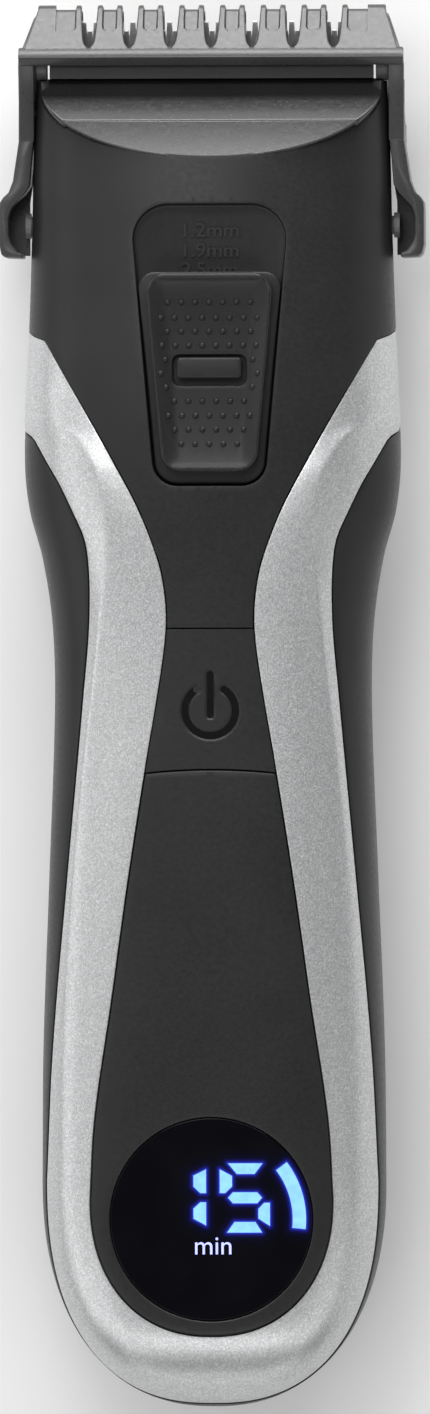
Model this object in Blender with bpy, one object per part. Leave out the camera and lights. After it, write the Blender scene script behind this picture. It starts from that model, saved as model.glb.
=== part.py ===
"""Cordless beard trimmer with a sliding length comb, lying on its back.

Lengths are in millimetres and become metres in build_mesh(). In the body's own frame X runs
across, Y runs from the butt (y = 0) to the comb and Z points out of the front. z = 0 is the
widest plane of the body. The empty `trimmer_frame` puts that frame on the table: the back
rests on world z = 0 and the origin is under the middle of the length.
"""

import math

import bmesh
import bpy
from mathutils import Vector

MM = 0.001
PLANAR = math.radians(0.01)  # faces bent more than this are split into triangles
MANY_CORNERS = 60  # faces with more corners are split into triangles

# Overall sizes
BODY_WIDTH = 47.0
HANDLE_LENGTH = 98.25  # butt to the waist of the silver frame
HEAD_LENGTH = 67.35  # waist to the end of the front housing
REST_DEPTH = 17.0  # widest plane to the flats of the back
HALF = BODY_WIDTH / 2
WAIST = HANDLE_LENGTH
FRONT_END = WAIST + HEAD_LENGTH
REAR_END = FRONT_END - 8.6
COMB_TIP = FRONT_END + 9.65

# Clearances
GAP = 0.3
SEAM = GAP / 2
SCREW_FIT = 0.3

# Body shells
FRONT_WALL = 1.5
REAR_WALL = 1.6
PARTING = -2.5
REAR_POWER = 2.6
SKIN_SIDES = 28
SKIN_SPACING = 7.0
HOLLOW_SIDES = 20
HOLLOW_SPACING = 11.0
BUTT_LENGTH = 28.25
BUTT_POWER = 2.25
FRONT_ROUND = 12.0
FRONT_ROUND_POWER = 2.5
REAR_ROUND = 22.0
REAR_ROUND_POWER = 2.3

# y, narrowing of the half width, front height, rear depth, power of the front curve
SECTIONS = [
    (BUTT_LENGTH, 2.05, 13.0, 17.6, 3.6),
    (BUTT_LENGTH + 16.75, 2.2, 13.0, 18.0, 3.4),
    (WAIST - 32.25, 2.95, 12.6, 17.2, 3.0),
    (WAIST - 10.25, 3.7, 11.8, 15.6, 2.7),
    (WAIST - 0.25, 3.4, 11.6, 15.4, 2.6),
    (WAIST + 7.75, 2.2, 11.8, 16.0, 2.5),
    (WAIST + 13.75, 0.6, 12.1, 16.8, 2.4),
    (WAIST + 19.75, 0.0, 12.3, 17.3, 2.4),
    (WAIST + 29.75, 0.3, 12.2, 17.5, 2.3),
    (WAIST + 39.75, 0.7, 11.6, 15.8, 2.2),
    (WAIST + 49.75, 1.0, 10.8, 11.4, 2.15),
    (REAR_END, 1.2, 9.9, 7.4, 2.1),
    (FRONT_END + 0.15, 1.6, 9.0, 5.2, 2.1),
]

# Display
DISPLAY_Y = 23.6
DISPLAY_RADIUS = 12.7
LENS_THICKNESS = 1.5
PANEL_RIM = 2.45

# Silver frame: inner edge as (y, half width), outer edge as (y, width of the black side panel)
FRAME_CENTRE = DISPLAY_Y + 2.4
FRAME_DROP = DISPLAY_RADIUS + 4.3
FRAME_POWER = 2.2
FRAME_HALF = DISPLAY_RADIUS + PANEL_RIM
WAIST_HALF = 5.44
FRAME_INNER = [
    (FRAME_CENTRE, FRAME_HALF),
    (FRAME_CENTRE + 10.0, FRAME_HALF - 0.6),
    (FRAME_CENTRE + 24.75, WAIST_HALF + 6.96),
    (WAIST - 32.5, WAIST_HALF + 4.86),
    (WAIST - 17.5, WAIST_HALF + 2.5),
    (WAIST - 10.0, WAIST_HALF + 1.22),
    (WAIST - 3.75, WAIST_HALF + 0.28),
    (WAIST, WAIST_HALF),
    (WAIST + 3.75, WAIST_HALF + 0.26),
    (WAIST + 7.5, WAIST_HALF + 1.06),
    (WAIST + 13.75, WAIST_HALF + 3.46),
    (WAIST + 20.0, HALF - 11.3),
    (WAIST + 25.0, HALF - 8.5),
    (WAIST + 30.0, HALF - 5.6),
    (WAIST + 35.0, HALF - 2.7),
]
FRAME_TIP = WAIST + 37.2
OUTER_DROP = 27.45
OUTER_POWER = 2.4
SIDE_PANEL = [
    (BUTT_LENGTH, 1.0),
    (BUTT_LENGTH + 15.0, 1.4),
    (WAIST - 32.5, 2.45),
    (WAIST - 10.0, 3.75),
    (WAIST, 4.9),
    (WAIST + 7.5, 5.9),
    (WAIST + 11.25, 6.05),
    (WAIST + 16.25, 4.7),
    (WAIST + 20.0, 2.8),
    (WAIST + 24.85, 0.0),
]
SIDE_PANEL_END = WAIST + 24.85

# Power button
BUTTON_LOW = WAIST - 19.1
BUTTON_HIGH = WAIST - 1.1
BUTTON_Y = WAIST - 11.3
BUTTON_TRAVEL = 0.5

# Slider recess, thumb slider and lock key
RECESS_LOW = WAIST + 16.65
RECESS_HIGH = WAIST + 51.85
RECESS_TOP_HALF = 10.0
RECESS_LOW_HALF = 6.9
RECESS_FLOOR = 9.2
TRAY_WALL = 1.6
SLIDE_TRAVEL = 7.5
SLIDER_HIGH = WAIST + 43.35
SLIDER_TOP = 13.4
DISH_FLOOR = 12.3
DISH_MARGIN = 1.1
STEM_HALF = 2.5
STEM_LOW = WAIST + 26.25
STEM_HIGH = WAIST + 34.95
KEY_Y = WAIST + 31.35
KEY_LENGTH = 8.1
KEY_WIDTH = 2.6
KEY_TOP = 13.0
KEY_HEIGHT = 1.5
KEY_TRAVEL = 0.8

# Scoop below the comb: a ramp that falls towards the blades
SCOOP_START = FRONT_END - 9.5
SCOOP_START_Z = 9.95
SCOOP_SLOPE = 0.72
SCOOP_PLATE = 1.7

# Slide carriage and the bosses that hold the comb
CARRIAGE_TOP = 7.2
CARRIAGE_BOTTOM = 5.5
CARRIAGE_HALF = 4.0
CARRIAGE_SINK = 0.9  # how deep the carriage screws' heads are sunk
CARRIAGE_LEG = HALF - 6.6
BOSS_Y = WAIST + 49.35
BOSS_NECK = 1.2
BOSS_HEAD = 1.6

# Motor and crank
MOTOR_WIDTH = 20.4
MOTOR_HEIGHT = 15.4
MOTOR_LENGTH = 26.0
MOTOR_FRONT = WAIST + 39.75
MOTOR_Z = -2.6
BELL_LENGTH = 5.7
SHAFT_RADIUS = 1.0
CRANK_THROW = 1.2
CAM_RADIUS = 4.2
CAM_LOW = MOTOR_FRONT + 8.0
CAM_HIGH = CAM_LOW + 7.0
PIN_RADIUS = 1.0
PIN_END = REAR_END + 1.0

# Blades, in their own tilted frame: `along` towards the tips, `up` towards the front
BLADE_TILT = math.radians(15)
BLADE_TIP_Y = FRONT_END + 7.4
BLADE_TIP_Z = -1.6
BLADE_THICKNESS = 1.0
BLADE_LENGTH = 13.5
FIXED_BLADE_HALF = HALF - 3.5
MOVING_BLADE_HALF = FIXED_BLADE_HALF - 3.7
TOOTH_PITCH = 1.53
TOOTH_LENGTH = 3.0
TOOTH_ROOT = 0.5
TOOTH_POINT = 0.28
BLADE_SCREW_ALONG = -11.6

# Comb
COMB_WALL_IN = HALF - 0.9
COMB_WALL_OUT = HALF + 0.4
FINGERS = 8
RIB_WIDTH = 1.1
EAR_OUT = HALF + 3.06
EAR_WALL = 1.15
ARM_LOW = -6.5
ARM_HIGH = 2.5

# Electrical parts
CELL_RADIUS = 7.0
CELL_LENGTH = 49.0
CELL_START = 27.0
CELL_Z = -6.5
BOARD_TOP = 7.2
BOARD_BOTTOM = 6.0
BOARD_HALF = 10.0
BOARD_START = DISPLAY_Y + 16.4
BOARD_END = WAIST + 5.75
SOCKET_HALF = 4.45
SOCKET_HEIGHT = 3.2
SOCKET_Z = -4.0

# Screws
SCREW_SHANK = 1.05
SCREW_HEAD = 2.0
SCREW_HEAD_HEIGHT = 1.8
POST_RADIUS = 2.1
SEAT_RADIUS = 2.9
JOINT_Z = -6.0
HANDLE_SCREW_Y = 55.0
HEAD_SCREW_Y = WAIST + 28.75


# Curves and the body's skin


def smooth(points, at):
    """Value at `at` on a smooth curve through sorted (place, value) points."""
    if at <= points[0][0]:
        return points[0][1]
    if at >= points[-1][0]:
        return points[-1][1]
    index = max(i for i, point in enumerate(points[:-1]) if point[0] <= at)
    slopes = []
    for i in (index, index + 1):
        before = points[max(i - 1, 0)]
        after = points[min(i + 1, len(points) - 1)]
        slopes.append((after[1] - before[1]) / (after[0] - before[0]))
    (x0, v0), (x1, v1) = points[index], points[index + 1]
    span = x1 - x0
    t = (at - x0) / span
    return (
        (2 * t**3 - 3 * t**2 + 1) * v0
        + (t**3 - 2 * t**2 + t) * span * slopes[0]
        + (3 * t**2 - 2 * t**3) * v1
        + (t**3 - t**2) * span * slopes[1]
    )


def rounding(y, length, power, inset):
    """Share of the full size that the rounded butt has at y."""
    if y >= length:
        return 1.0
    reach = min(max((length - y) / (length - inset), 0.0), 1.0)
    return (1 - reach**power) ** (1 / power)


def section(y, inset=0.0):
    """Half width, front height, rear depth and front power of the body at y."""
    half, front, rear, power = (
        smooth([(row[0], row[column]) for row in SECTIONS], y) for column in range(1, 5)
    )
    half = (HALF - half - inset) * rounding(y, BUTT_LENGTH, BUTT_POWER, inset)
    front = (front - inset) * rounding(y, FRONT_ROUND, FRONT_ROUND_POWER, inset)
    rear = (rear - inset) * rounding(y, REAR_ROUND, REAR_ROUND_POWER, inset)
    return half, front, rear, power


def half_width(y):
    return section(y)[0]


def front_height(x, y, inset=0.0):
    """Height of the front surface at a place inside the outline."""
    half, front, _, power = section(y, inset)
    return front * max(1 - (abs(x) / half) ** power, 0.0) ** (1 / power)


def rear_height(x, y, inset=0.0):
    """Height of the back surface, which is negative and stops at the resting flats."""
    half, _, rear, _ = section(y, inset)
    depth = rear * max(1 - (abs(x) / half) ** REAR_POWER, 0.0) ** (1 / REAR_POWER)
    return max(-depth, inset - REST_DEPTH)


def skin_ring(y, inset, sides):
    """The body's cross-section at y, counted from the front centre."""
    half, front, rear, power = section(y, inset)
    ring = []
    for step in range(sides):
        angle = 2 * math.pi * step / sides
        across = math.sin(angle)
        up = math.cos(angle)
        depth, n = (front, power) if up >= 0 else (rear, REAR_POWER)
        if half < 1e-6:
            ring.append((0.0, y, 0.0))
            continue
        reach = ((abs(across) / half) ** n + (abs(up) / depth) ** n) ** (-1 / n)
        ring.append((reach * across, y, max(reach * up, inset - REST_DEPTH)))
    return ring


# Shapes: each is a pair of vertices and faces


def rings_shape(rings, closed_start=True):
    """A body through equal rings, with a flat face at each end."""
    count = len(rings[0])
    vertices = [point for ring in rings for point in ring]
    faces = []
    for row in range(len(rings) - 1):
        for step in range(count):
            after = (step + 1) % count
            low = row * count
            high = low + count
            faces.append((low + step, low + after, high + after, high + step))
    last = (len(rings) - 1) * count
    faces.append(tuple(range(last, last + count)))
    if closed_start:
        faces.append(tuple(range(count)))
    return vertices, faces


def loft(start, end, inset=0.0):
    """The body's solid between two places; from the butt it starts at a point.

    An inset loft is the coarser hollow inside a shell.
    """
    sides, spacing, steps = SKIN_SIDES, SKIN_SPACING, 8
    if inset:
        sides, spacing, steps = HOLLOW_SIDES, HOLLOW_SPACING, 6
    from_butt = start <= inset
    rows = []
    if from_butt:
        radius = BUTT_LENGTH - inset
        for step in range(steps):
            rows.append(inset + radius * (1 - math.cos(math.pi / 2 * step / steps)))
        start = BUTT_LENGTH
    count = max(math.ceil((end - start) / spacing), 1)
    rows += [start + (end - start) * step / count for step in range(count + 1)]
    rings = [skin_ring(y, inset, sides) for y in rows]
    return rings_shape(rings, closed_start=not from_butt)


def prism(outline, low, high, axis="Z"):
    """An outline of (x, y), (y, z) or (x, z) pairs, extruded along Z, X or Y."""
    place = {
        "Z": lambda pair, along: (pair[0], pair[1], along),
        "X": lambda pair, along: (along, pair[0], pair[1]),
        "Y": lambda pair, along: (pair[0], along, pair[1]),
    }[axis]
    return rings_shape([[place(pair, along) for pair in outline] for along in (low, high)])


def box(x0, x1, y0, y1, z0, z1):
    return prism([(x0, y0), (x1, y0), (x1, y1), (x0, y1)], z0, z1)


def circle(centre, radius, sides=20):
    return [
        (
            centre[0] + radius * math.cos(2 * math.pi * (step + 0.5) / sides),
            centre[1] + radius * math.sin(2 * math.pi * (step + 0.5) / sides),
        )
        for step in range(sides)
    ]


def rod(centre, radius, low, high, axis="Z", sides=20):
    return prism(circle(centre, radius, sides), low, high, axis)


def rounded(corners, radii, steps=4):
    """A closed outline through corners, each with its own fillet."""
    outline = []
    count = len(corners)
    for index, corner in enumerate(corners):
        here = Vector(corner)
        before = (Vector(corners[index - 1]) - here).normalized()
        after = (Vector(corners[(index + 1) % count]) - here).normalized()
        radius = radii[index]
        if radius == 0:
            outline.append(tuple(here))
            continue
        half_angle = before.angle(after) / 2
        centre = here + (before + after).normalized() * (radius / math.sin(half_angle))
        first = here + before * (radius / math.tan(half_angle)) - centre
        last = here + after * (radius / math.tan(half_angle)) - centre
        for step in range(steps + 1):
            turned = first.lerp(last, step / steps).normalized() * radius
            outline.append(tuple(centre + turned))
    return outline


def rounded_box(x0, x1, y0, y1, radius, low, high, axis="Z"):
    corners = [(x0, y0), (x1, y0), (x1, y1), (x0, y1)]
    return prism(rounded(corners, [radius] * 4), low, high, axis)


def mirrored(outline):
    """A right-hand edge from bottom to top, closed by its mirror image on the left."""
    left = [(-x, y) for x, y in reversed(outline) if x > 1e-6]
    return outline + left


def together(*shapes):
    """Several separate bodies as one shape."""
    vertices = []
    faces = []
    for shape_vertices, shape_faces in shapes:
        shift = len(vertices)
        vertices += shape_vertices
        faces += [tuple(index + shift for index in face) for face in shape_faces]
    return vertices, faces


def both_sides(shape):
    vertices, faces = shape
    return together(shape, ([(-x, y, z) for x, y, z in vertices], faces))


def on_blade(shape):
    """Moves a shape from the blade's own frame (x, along, up) into the body's frame."""
    cos, sin = math.cos(BLADE_TILT), math.sin(BLADE_TILT)
    vertices = [
        (x, BLADE_TIP_Y + along * cos - up * sin, BLADE_TIP_Z + along * sin + up * cos)
        for x, along, up in shape[0]
    ]
    return vertices, shape[1]


# Objects


def clear_scene():
    for obj in list(bpy.data.objects):
        bpy.data.objects.remove(obj)


def material(name, colour, roughness, metallic=0.0):
    finish = bpy.data.materials.new(name)
    finish.use_nodes = True
    shader = finish.node_tree.nodes["Principled BSDF"]
    shader.inputs["Base Color"].default_value = (*colour, 1.0)
    shader.inputs["Roughness"].default_value = roughness
    shader.inputs["Metallic"].default_value = metallic
    return finish


def build_mesh(name, shape, origin):
    mesh = bpy.data.meshes.new(name)
    work = bmesh.new()
    points = [work.verts.new((Vector(vertex) - Vector(origin)) * MM) for vertex in shape[0]]
    for face in shape[1]:
        work.faces.new([points[index] for index in face])
    bmesh.ops.remove_doubles(work, verts=work.verts, dist=1e-7)
    crowded = [face for face in work.faces if len(face.verts) > MANY_CORNERS]
    bmesh.ops.triangulate(work, faces=crowded)
    bmesh.ops.connect_verts_nonplanar(work, angle_limit=PLANAR, faces=work.faces)
    bmesh.ops.recalc_face_normals(work, faces=work.faces)
    work.to_mesh(mesh)
    work.free()
    mesh.shade_smooth()
    mesh.set_sharp_from_angle(angle=math.radians(35))
    return mesh


class Trimmer:
    """Holds the frame empty and adds the trimmer's sub-parts to it."""

    def __init__(self):
        self.frame = bpy.data.objects.new("trimmer_frame", None)
        bpy.context.scene.collection.objects.link(self.frame)
        self.frame.location = Vector((0, -COMB_TIP / 2, REST_DEPTH)) * MM

    def place(self, obj, origin):
        bpy.context.scene.collection.objects.link(obj)
        obj.parent = self.frame
        obj.location = Vector(origin) * MM

    def part(self, name, finish, base, *steps, origin=(0, 0, 0)):
        """A sub-part: a base shape, then Boolean steps of (operation, shape)."""
        piece = bpy.data.objects.new(name, build_mesh(name, base, origin))
        piece.data.materials.append(finish)
        self.place(piece, origin)
        for number, (operation, shape) in enumerate(steps, start=1):
            tool_name = f"{name}.tool_{number}"
            tool = bpy.data.objects.new(tool_name, build_mesh(tool_name, shape, (0, 0, 0)))
            tool.hide_render = True
            tool.display_type = "WIRE"
            self.place(tool, (0, 0, 0))
            modifier = piece.modifiers.new(f"{operation.lower()}_{number}", "BOOLEAN")
            modifier.operation = operation
            modifier.solver = "EXACT"
            modifier.object = tool
        return piece

    def wire(self, name, finish, route, radius):
        """An insulated lead along a smooth route, as a round bevelled curve."""
        curve = bpy.data.curves.new(name, "CURVE")
        curve.dimensions = "3D"
        curve.bevel_depth = radius * MM
        curve.bevel_resolution = 1
        curve.use_fill_caps = True
        spline = curve.splines.new("POLY")
        places = smooth_route(route)
        spline.points.add(len(places) - 1)
        for point, spot in zip(spline.points, places):
            point.co = (*(spot * MM), 1.0)
        curve.materials.append(finish)
        self.place(bpy.data.objects.new(name, curve), (0, 0, 0))


def smooth_route(route, steps=4):
    """Points along a smooth curve through a route's own points."""
    places = [Vector(point) for point in route]
    last = len(places) - 1
    spots = []
    for index in range(last):
        before = places[max(index - 1, 0)]
        after = places[min(index + 2, last)]
        start, end = places[index], places[index + 1]
        for step in range(steps):
            t = step / steps
            start_pull = (end - before) / 2
            end_pull = (after - start) / 2
            spots.append(
                (2 * t**3 - 3 * t**2 + 1) * start
                + (t**3 - 2 * t**2 + t) * start_pull
                + (3 * t**2 - 2 * t**3) * end
                + (t**3 - t**2) * end_pull
            )
    spots.append(places[last])
    return spots


# Outlines seen from the front


def u_edge(centre, half, drop, power, steps=10):
    """Right half of a U from its lowest point up to its centre line."""
    edge = []
    for step in range(steps + 1):
        angle = math.pi / 2 * step / steps
        x = half * math.sin(angle) ** (2 / power)
        y = centre - drop * abs(math.cos(angle)) ** (2 / power)
        edge.append((x, y))
    return edge


def inner_edge(offset, start=None, end=None):
    """Inner edge of the silver frame, moved outwards by `offset`, from start to end."""
    edge = u_edge(FRAME_CENTRE, FRAME_HALF + offset, FRAME_DROP + offset, FRAME_POWER)
    y = FRAME_CENTRE
    while y < FRAME_INNER[-1][0] - 2.0:
        y += 3.4
        edge.append((smooth(FRAME_INNER, y) + offset, y))
    edge.append((HALF + 0.2, FRAME_TIP - 0.6 - offset))
    edge.append((HALF + 4.0, FRAME_TIP - offset))
    if start is not None:
        kept = [point for point in edge if point[1] > start + 0.3]
        edge = [(smooth(FRAME_INNER, start) + offset, start)] + kept
    if end is not None:
        kept = [point for point in edge if point[1] < end - 0.3]
        edge = kept + [(smooth(FRAME_INNER, end) + offset, end)]
    return edge


def outer_edge(offset):
    """Outer edge of the silver frame up to where it reaches the side of the body."""
    lowest = half_width(BUTT_LENGTH) - SIDE_PANEL[0][1]
    edge = u_edge(BUTT_LENGTH, lowest + offset, OUTER_DROP + offset, OUTER_POWER)
    steps = 22
    for step in range(1, steps + 1):
        y = BUTT_LENGTH + (SIDE_PANEL_END - BUTT_LENGTH) * step / steps
        edge.append((half_width(y) - smooth(SIDE_PANEL, y) + offset, y))
    return edge


def recess_half(y):
    """Half width of the slider recess, which narrows towards the handle."""
    share = (y - RECESS_LOW) / (RECESS_HIGH - RECESS_LOW)
    return RECESS_LOW_HALF + (RECESS_TOP_HALF - RECESS_LOW_HALF) * share


def tapered_outline(low, high, inset, low_radius, high_radius):
    """A rounded outline that follows the recess's slanting sides."""
    corners = [
        (-recess_half(low) + inset, low),
        (recess_half(low) - inset, low),
        (recess_half(high) - inset, high),
        (-recess_half(high) + inset, high),
    ]
    return rounded(corners, [low_radius, low_radius, high_radius, high_radius])


# Shells


BEYOND = 40.0  # past every surface of the body


def shell_steps(wall, outline, low, start, end):
    """Keeps what lies inside an outline and above `low`, then hollows it."""
    return [
        ("INTERSECT", prism(outline, low, BEYOND)),
        ("DIFFERENCE", loft(start - 5.0 if start > 10.0 else wall, end + 5.0, wall)),
    ]


def screw_sites():
    """Places of the four housing screws: name, x, y."""
    handle_x = smooth(FRAME_INNER, HANDLE_SCREW_Y) + POST_RADIUS + GAP
    head_x = MOTOR_WIDTH / 2 + SEAT_RADIUS + 0.5
    return [
        ("housing_screw_handle_left", -handle_x, HANDLE_SCREW_Y),
        ("housing_screw_handle_right", handle_x, HANDLE_SCREW_Y),
        ("housing_screw_head_left", -head_x, HEAD_SCREW_Y),
        ("housing_screw_head_right", head_x, HEAD_SCREW_Y),
    ]


def seat_bottom(x, y):
    return rear_height(abs(x) + SEAT_RADIUS, y) + 0.4


def seat_height(x, y):
    """Where the screw's head bears."""
    return seat_bottom(x, y) + 1.1


def post_steps(sites):
    """Screw posts that hang from a front shell, with their pilot holes."""
    steps = []
    for _, x, y in sites:
        top = front_height(abs(x) + POST_RADIUS, y) - 0.35
        steps.append(("UNION", rod((x, y), POST_RADIUS, JOINT_Z + SEAM, top)))
    for _, x, y in sites:
        top = front_height(abs(x) + POST_RADIUS, y) - 2.4
        hole = SCREW_SHANK + SCREW_FIT
        steps.append(("DIFFERENCE", rod((x, y), hole, JOINT_Z - 1, top, sides=14)))
    return steps


def slot_shape():
    """The two side slots that the comb's bosses travel in."""
    radius = BOSS_NECK + GAP
    outline = []
    for centre, first in ((BOSS_Y + SLIDE_TRAVEL, -90), (BOSS_Y, 90)):
        for step in range(9):
            angle = math.radians(first + 180 * step / 8)
            outline.append(
                (centre + radius * math.cos(angle), PARTING + radius * math.sin(angle))
            )
    return both_sides(prism(outline, CARRIAGE_LEG - 0.9, HALF + 4.0, "X"))


def front_housing(trimmer, finish):
    start = WAIST - 1.0 + SEAM
    outline = inner_edge(-SEAM, start=start)
    outline.append((BEYOND, outline[-1][1]))
    outline.append((BEYOND, FRONT_END))
    plan = mirrored([(0.0, start)] + outline + [(0.0, FRONT_END)])
    ramp_end = FRONT_END + 4.0

    def ramp(y, drop):
        return SCOOP_START_Z - SCOOP_SLOPE * (y - SCOOP_START) - drop

    above = [
        (SCOOP_START - 8.0, ramp(SCOOP_START - 8.0, 0)),
        (ramp_end, ramp(ramp_end, 0)),
        (ramp_end, BEYOND),
        (SCOOP_START - 8.0, BEYOND),
    ]
    plate_start = SCOOP_START - 2.0
    plate_end = FRONT_END + 1.5
    plate_rings = []
    for step in range(5):
        y = plate_start + (plate_end - plate_start) * step / 4
        half, front, _, power = section(y, FRONT_WALL / 2)
        low = ramp(y, SCOOP_PLATE)
        high = min(ramp(y, -1.0), front - 0.6)
        reach = [
            half * max(1 - (max(z, 0.0) / front) ** power, 0.0) ** (1 / power)
            for z in (low, high)
        ]
        plate_rings.append(
            [(-reach[0], y, low), (reach[0], y, low), (reach[1], y, high), (-reach[1], y, high)]
        )
    tray_low, tray_high = RECESS_LOW - TRAY_WALL, RECESS_HIGH + TRAY_WALL
    tray_rings = []
    for step in range(9):
        y = tray_low + (tray_high - tray_low) * step / 8
        reach = recess_half(y) + TRAY_WALL
        top = front_height(reach, y) - 0.4
        tray_rings.append(
            [
                (-reach, y, RECESS_FLOOR - TRAY_WALL),
                (reach, y, RECESS_FLOOR - TRAY_WALL),
                (reach, y, top),
                (-reach, y, top),
            ]
        )
    recess = prism(tapered_outline(RECESS_LOW, RECESS_HIGH, 0.0, 3.1, 4.4), RECESS_FLOOR, BEYOND)
    stem_slot = box(
        -STEM_HALF - GAP,
        STEM_HALF + GAP,
        STEM_LOW - GAP,
        STEM_HIGH + SLIDE_TRAVEL + GAP,
        CARRIAGE_TOP - 1.0,
        RECESS_FLOOR + 1.0,
    )
    steps = [
        ("DIFFERENCE", loft(start - 5.0, FRONT_END + 5.0, FRONT_WALL)),
        ("UNION", rings_shape(plate_rings)),
        ("UNION", rings_shape(tray_rings)),
        ("DIFFERENCE", prism(above, -BEYOND, BEYOND, "X")),
        ("INTERSECT", prism(plan, PARTING + SEAM, BEYOND)),
        ("DIFFERENCE", recess),
        ("DIFFERENCE", stem_slot),
        ("DIFFERENCE", slot_shape()),
    ]
    steps += post_steps(screw_sites()[2:])
    trimmer.part("front_housing", finish, loft(start - 3.0, FRONT_END + 3.0), *steps)


def rear_housing(trimmer, finish):
    opening = outer_edge(SEAM)
    opening.append((BEYOND, SIDE_PANEL_END + 0.02))
    opening.append((BEYOND, FRONT_END + 5.0))
    steps = [
        ("DIFFERENCE", loft(REAR_WALL, REAR_END + 5.0, REAR_WALL)),
        ("DIFFERENCE", prism(mirrored(opening), PARTING - SEAM, BEYOND)),
        ("DIFFERENCE", slot_shape()),
    ]
    sites = screw_sites()
    for _, x, y in sites:
        seat = rod((x, y), SEAT_RADIUS, seat_bottom(x, y), JOINT_Z - SEAM)
        steps.append(("UNION", seat))
    for _, x, y in sites:
        head = rod((x, y), SCREW_HEAD + SCREW_FIT, -BEYOND, seat_height(x, y))
        shank = rod((x, y), SCREW_SHANK + SCREW_FIT, -BEYOND, 0)
        steps += [("DIFFERENCE", head), ("DIFFERENCE", shank)]
    socket = rounded_box(
        -SOCKET_HALF - GAP,
        SOCKET_HALF + GAP,
        SOCKET_Z - SOCKET_HEIGHT / 2 - GAP,
        SOCKET_Z + SOCKET_HEIGHT / 2 + GAP,
        1.7,
        -5.0,
        6.0,
        "Y",
    )
    steps.append(("DIFFERENCE", socket))
    trimmer.part("rear_housing", finish, loft(0.0, REAR_END), *steps)


def silver_frame(trimmer, finish):
    outer = outer_edge(-SEAM)
    outer.append((BEYOND, SIDE_PANEL_END + 0.02))
    tip = FRAME_TIP - SEAM
    outer.append((BEYOND, tip))
    steps = shell_steps(FRONT_WALL, mirrored(outer + [(0.0, tip)]), PARTING + SEAM, 0.0, tip)
    inner = inner_edge(SEAM)
    inner.append((inner[-1][0], tip + 5.0))
    steps.append(("DIFFERENCE", prism(mirrored(inner + [(0.0, tip + 5.0)]), -BEYOND, BEYOND)))
    steps += post_steps(screw_sites()[:2])
    trimmer.part("silver_frame", finish, loft(0.0, tip + 3.0), *steps)


def front_panels(trimmer, finish):
    panel = mirrored(inner_edge(-SEAM, end=BUTTON_LOW - SEAM) + [(0.0, BUTTON_LOW - SEAM)])
    display = rod((0, DISPLAY_Y), DISPLAY_RADIUS, 0, BEYOND, sides=40)
    steps = shell_steps(FRONT_WALL, panel, PARTING + SEAM, 0.0, BUTTON_LOW)
    steps.append(("DIFFERENCE", display))
    trimmer.part("lower_panel", finish, loft(0.0, BUTTON_LOW + 3.0), *steps)

    low, high = BUTTON_LOW + SEAM, BUTTON_HIGH - SEAM
    edge = inner_edge(-SEAM, start=low, end=high)
    face = mirrored([(0.0, low)] + edge + [(0.0, high)])
    boss = rod((0, BUTTON_Y), 2.0, BOARD_TOP + 2.5, front_height(2.0, BUTTON_Y) - 0.5)
    steps = shell_steps(FRONT_WALL, face, PARTING + SEAM, low, high)
    steps.append(("UNION", boss))
    trimmer.part(
        "power_button", finish, loft(low - 3.0, high + 3.0), *steps, origin=(0, BUTTON_Y, 0)
    )


def display(trimmer, finishes):
    lens = rod((0, DISPLAY_Y), DISPLAY_RADIUS - GAP, 0, BEYOND, sides=40)
    span = DISPLAY_RADIUS + 3.0
    trimmer.part(
        "display_lens",
        finishes["glass"],
        loft(DISPLAY_Y - span, DISPLAY_Y + span),
        ("DIFFERENCE", loft(DISPLAY_Y - span - 5, DISPLAY_Y + span + 5, LENS_THICKNESS)),
        ("INTERSECT", lens),
    )
    lens_back = front_height(DISPLAY_RADIUS, DISPLAY_Y, LENS_THICKNESS)
    outer = DISPLAY_RADIUS - 0.7
    gasket_top = lens_back - GAP
    gasket_low = gasket_top - 0.5
    centre = (0, DISPLAY_Y)
    trimmer.part(
        "display_gasket",
        finishes["rubber"],
        rod(centre, outer, gasket_low, gasket_top, sides=32),
        ("DIFFERENCE", rod(centre, outer - 2.0, 0, BEYOND, sides=32)),
    )
    housing_top = gasket_low - GAP
    board_top = BOARD_TOP - 0.9
    trimmer.part(
        "display_light_box",
        finishes["white_plastic"],
        rod(centre, outer, board_top + GAP, housing_top, sides=32),
        ("DIFFERENCE", rod(centre, outer - 1.6, board_top + 1.6, BEYOND, sides=32)),
    )
    trimmer.part(
        "display_board",
        finishes["circuit_board"],
        rod(centre, outer - 0.5, board_top - 1.1, board_top, sides=32),
    )
    ribbon_start = DISPLAY_Y + outer - 0.5 + GAP
    trimmer.part(
        "display_ribbon",
        finishes["ribbon"],
        box(-4, 4, ribbon_start, BOARD_START - GAP, board_top - 0.5, board_top - 0.2),
    )


# Slider, carriage and comb


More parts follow.
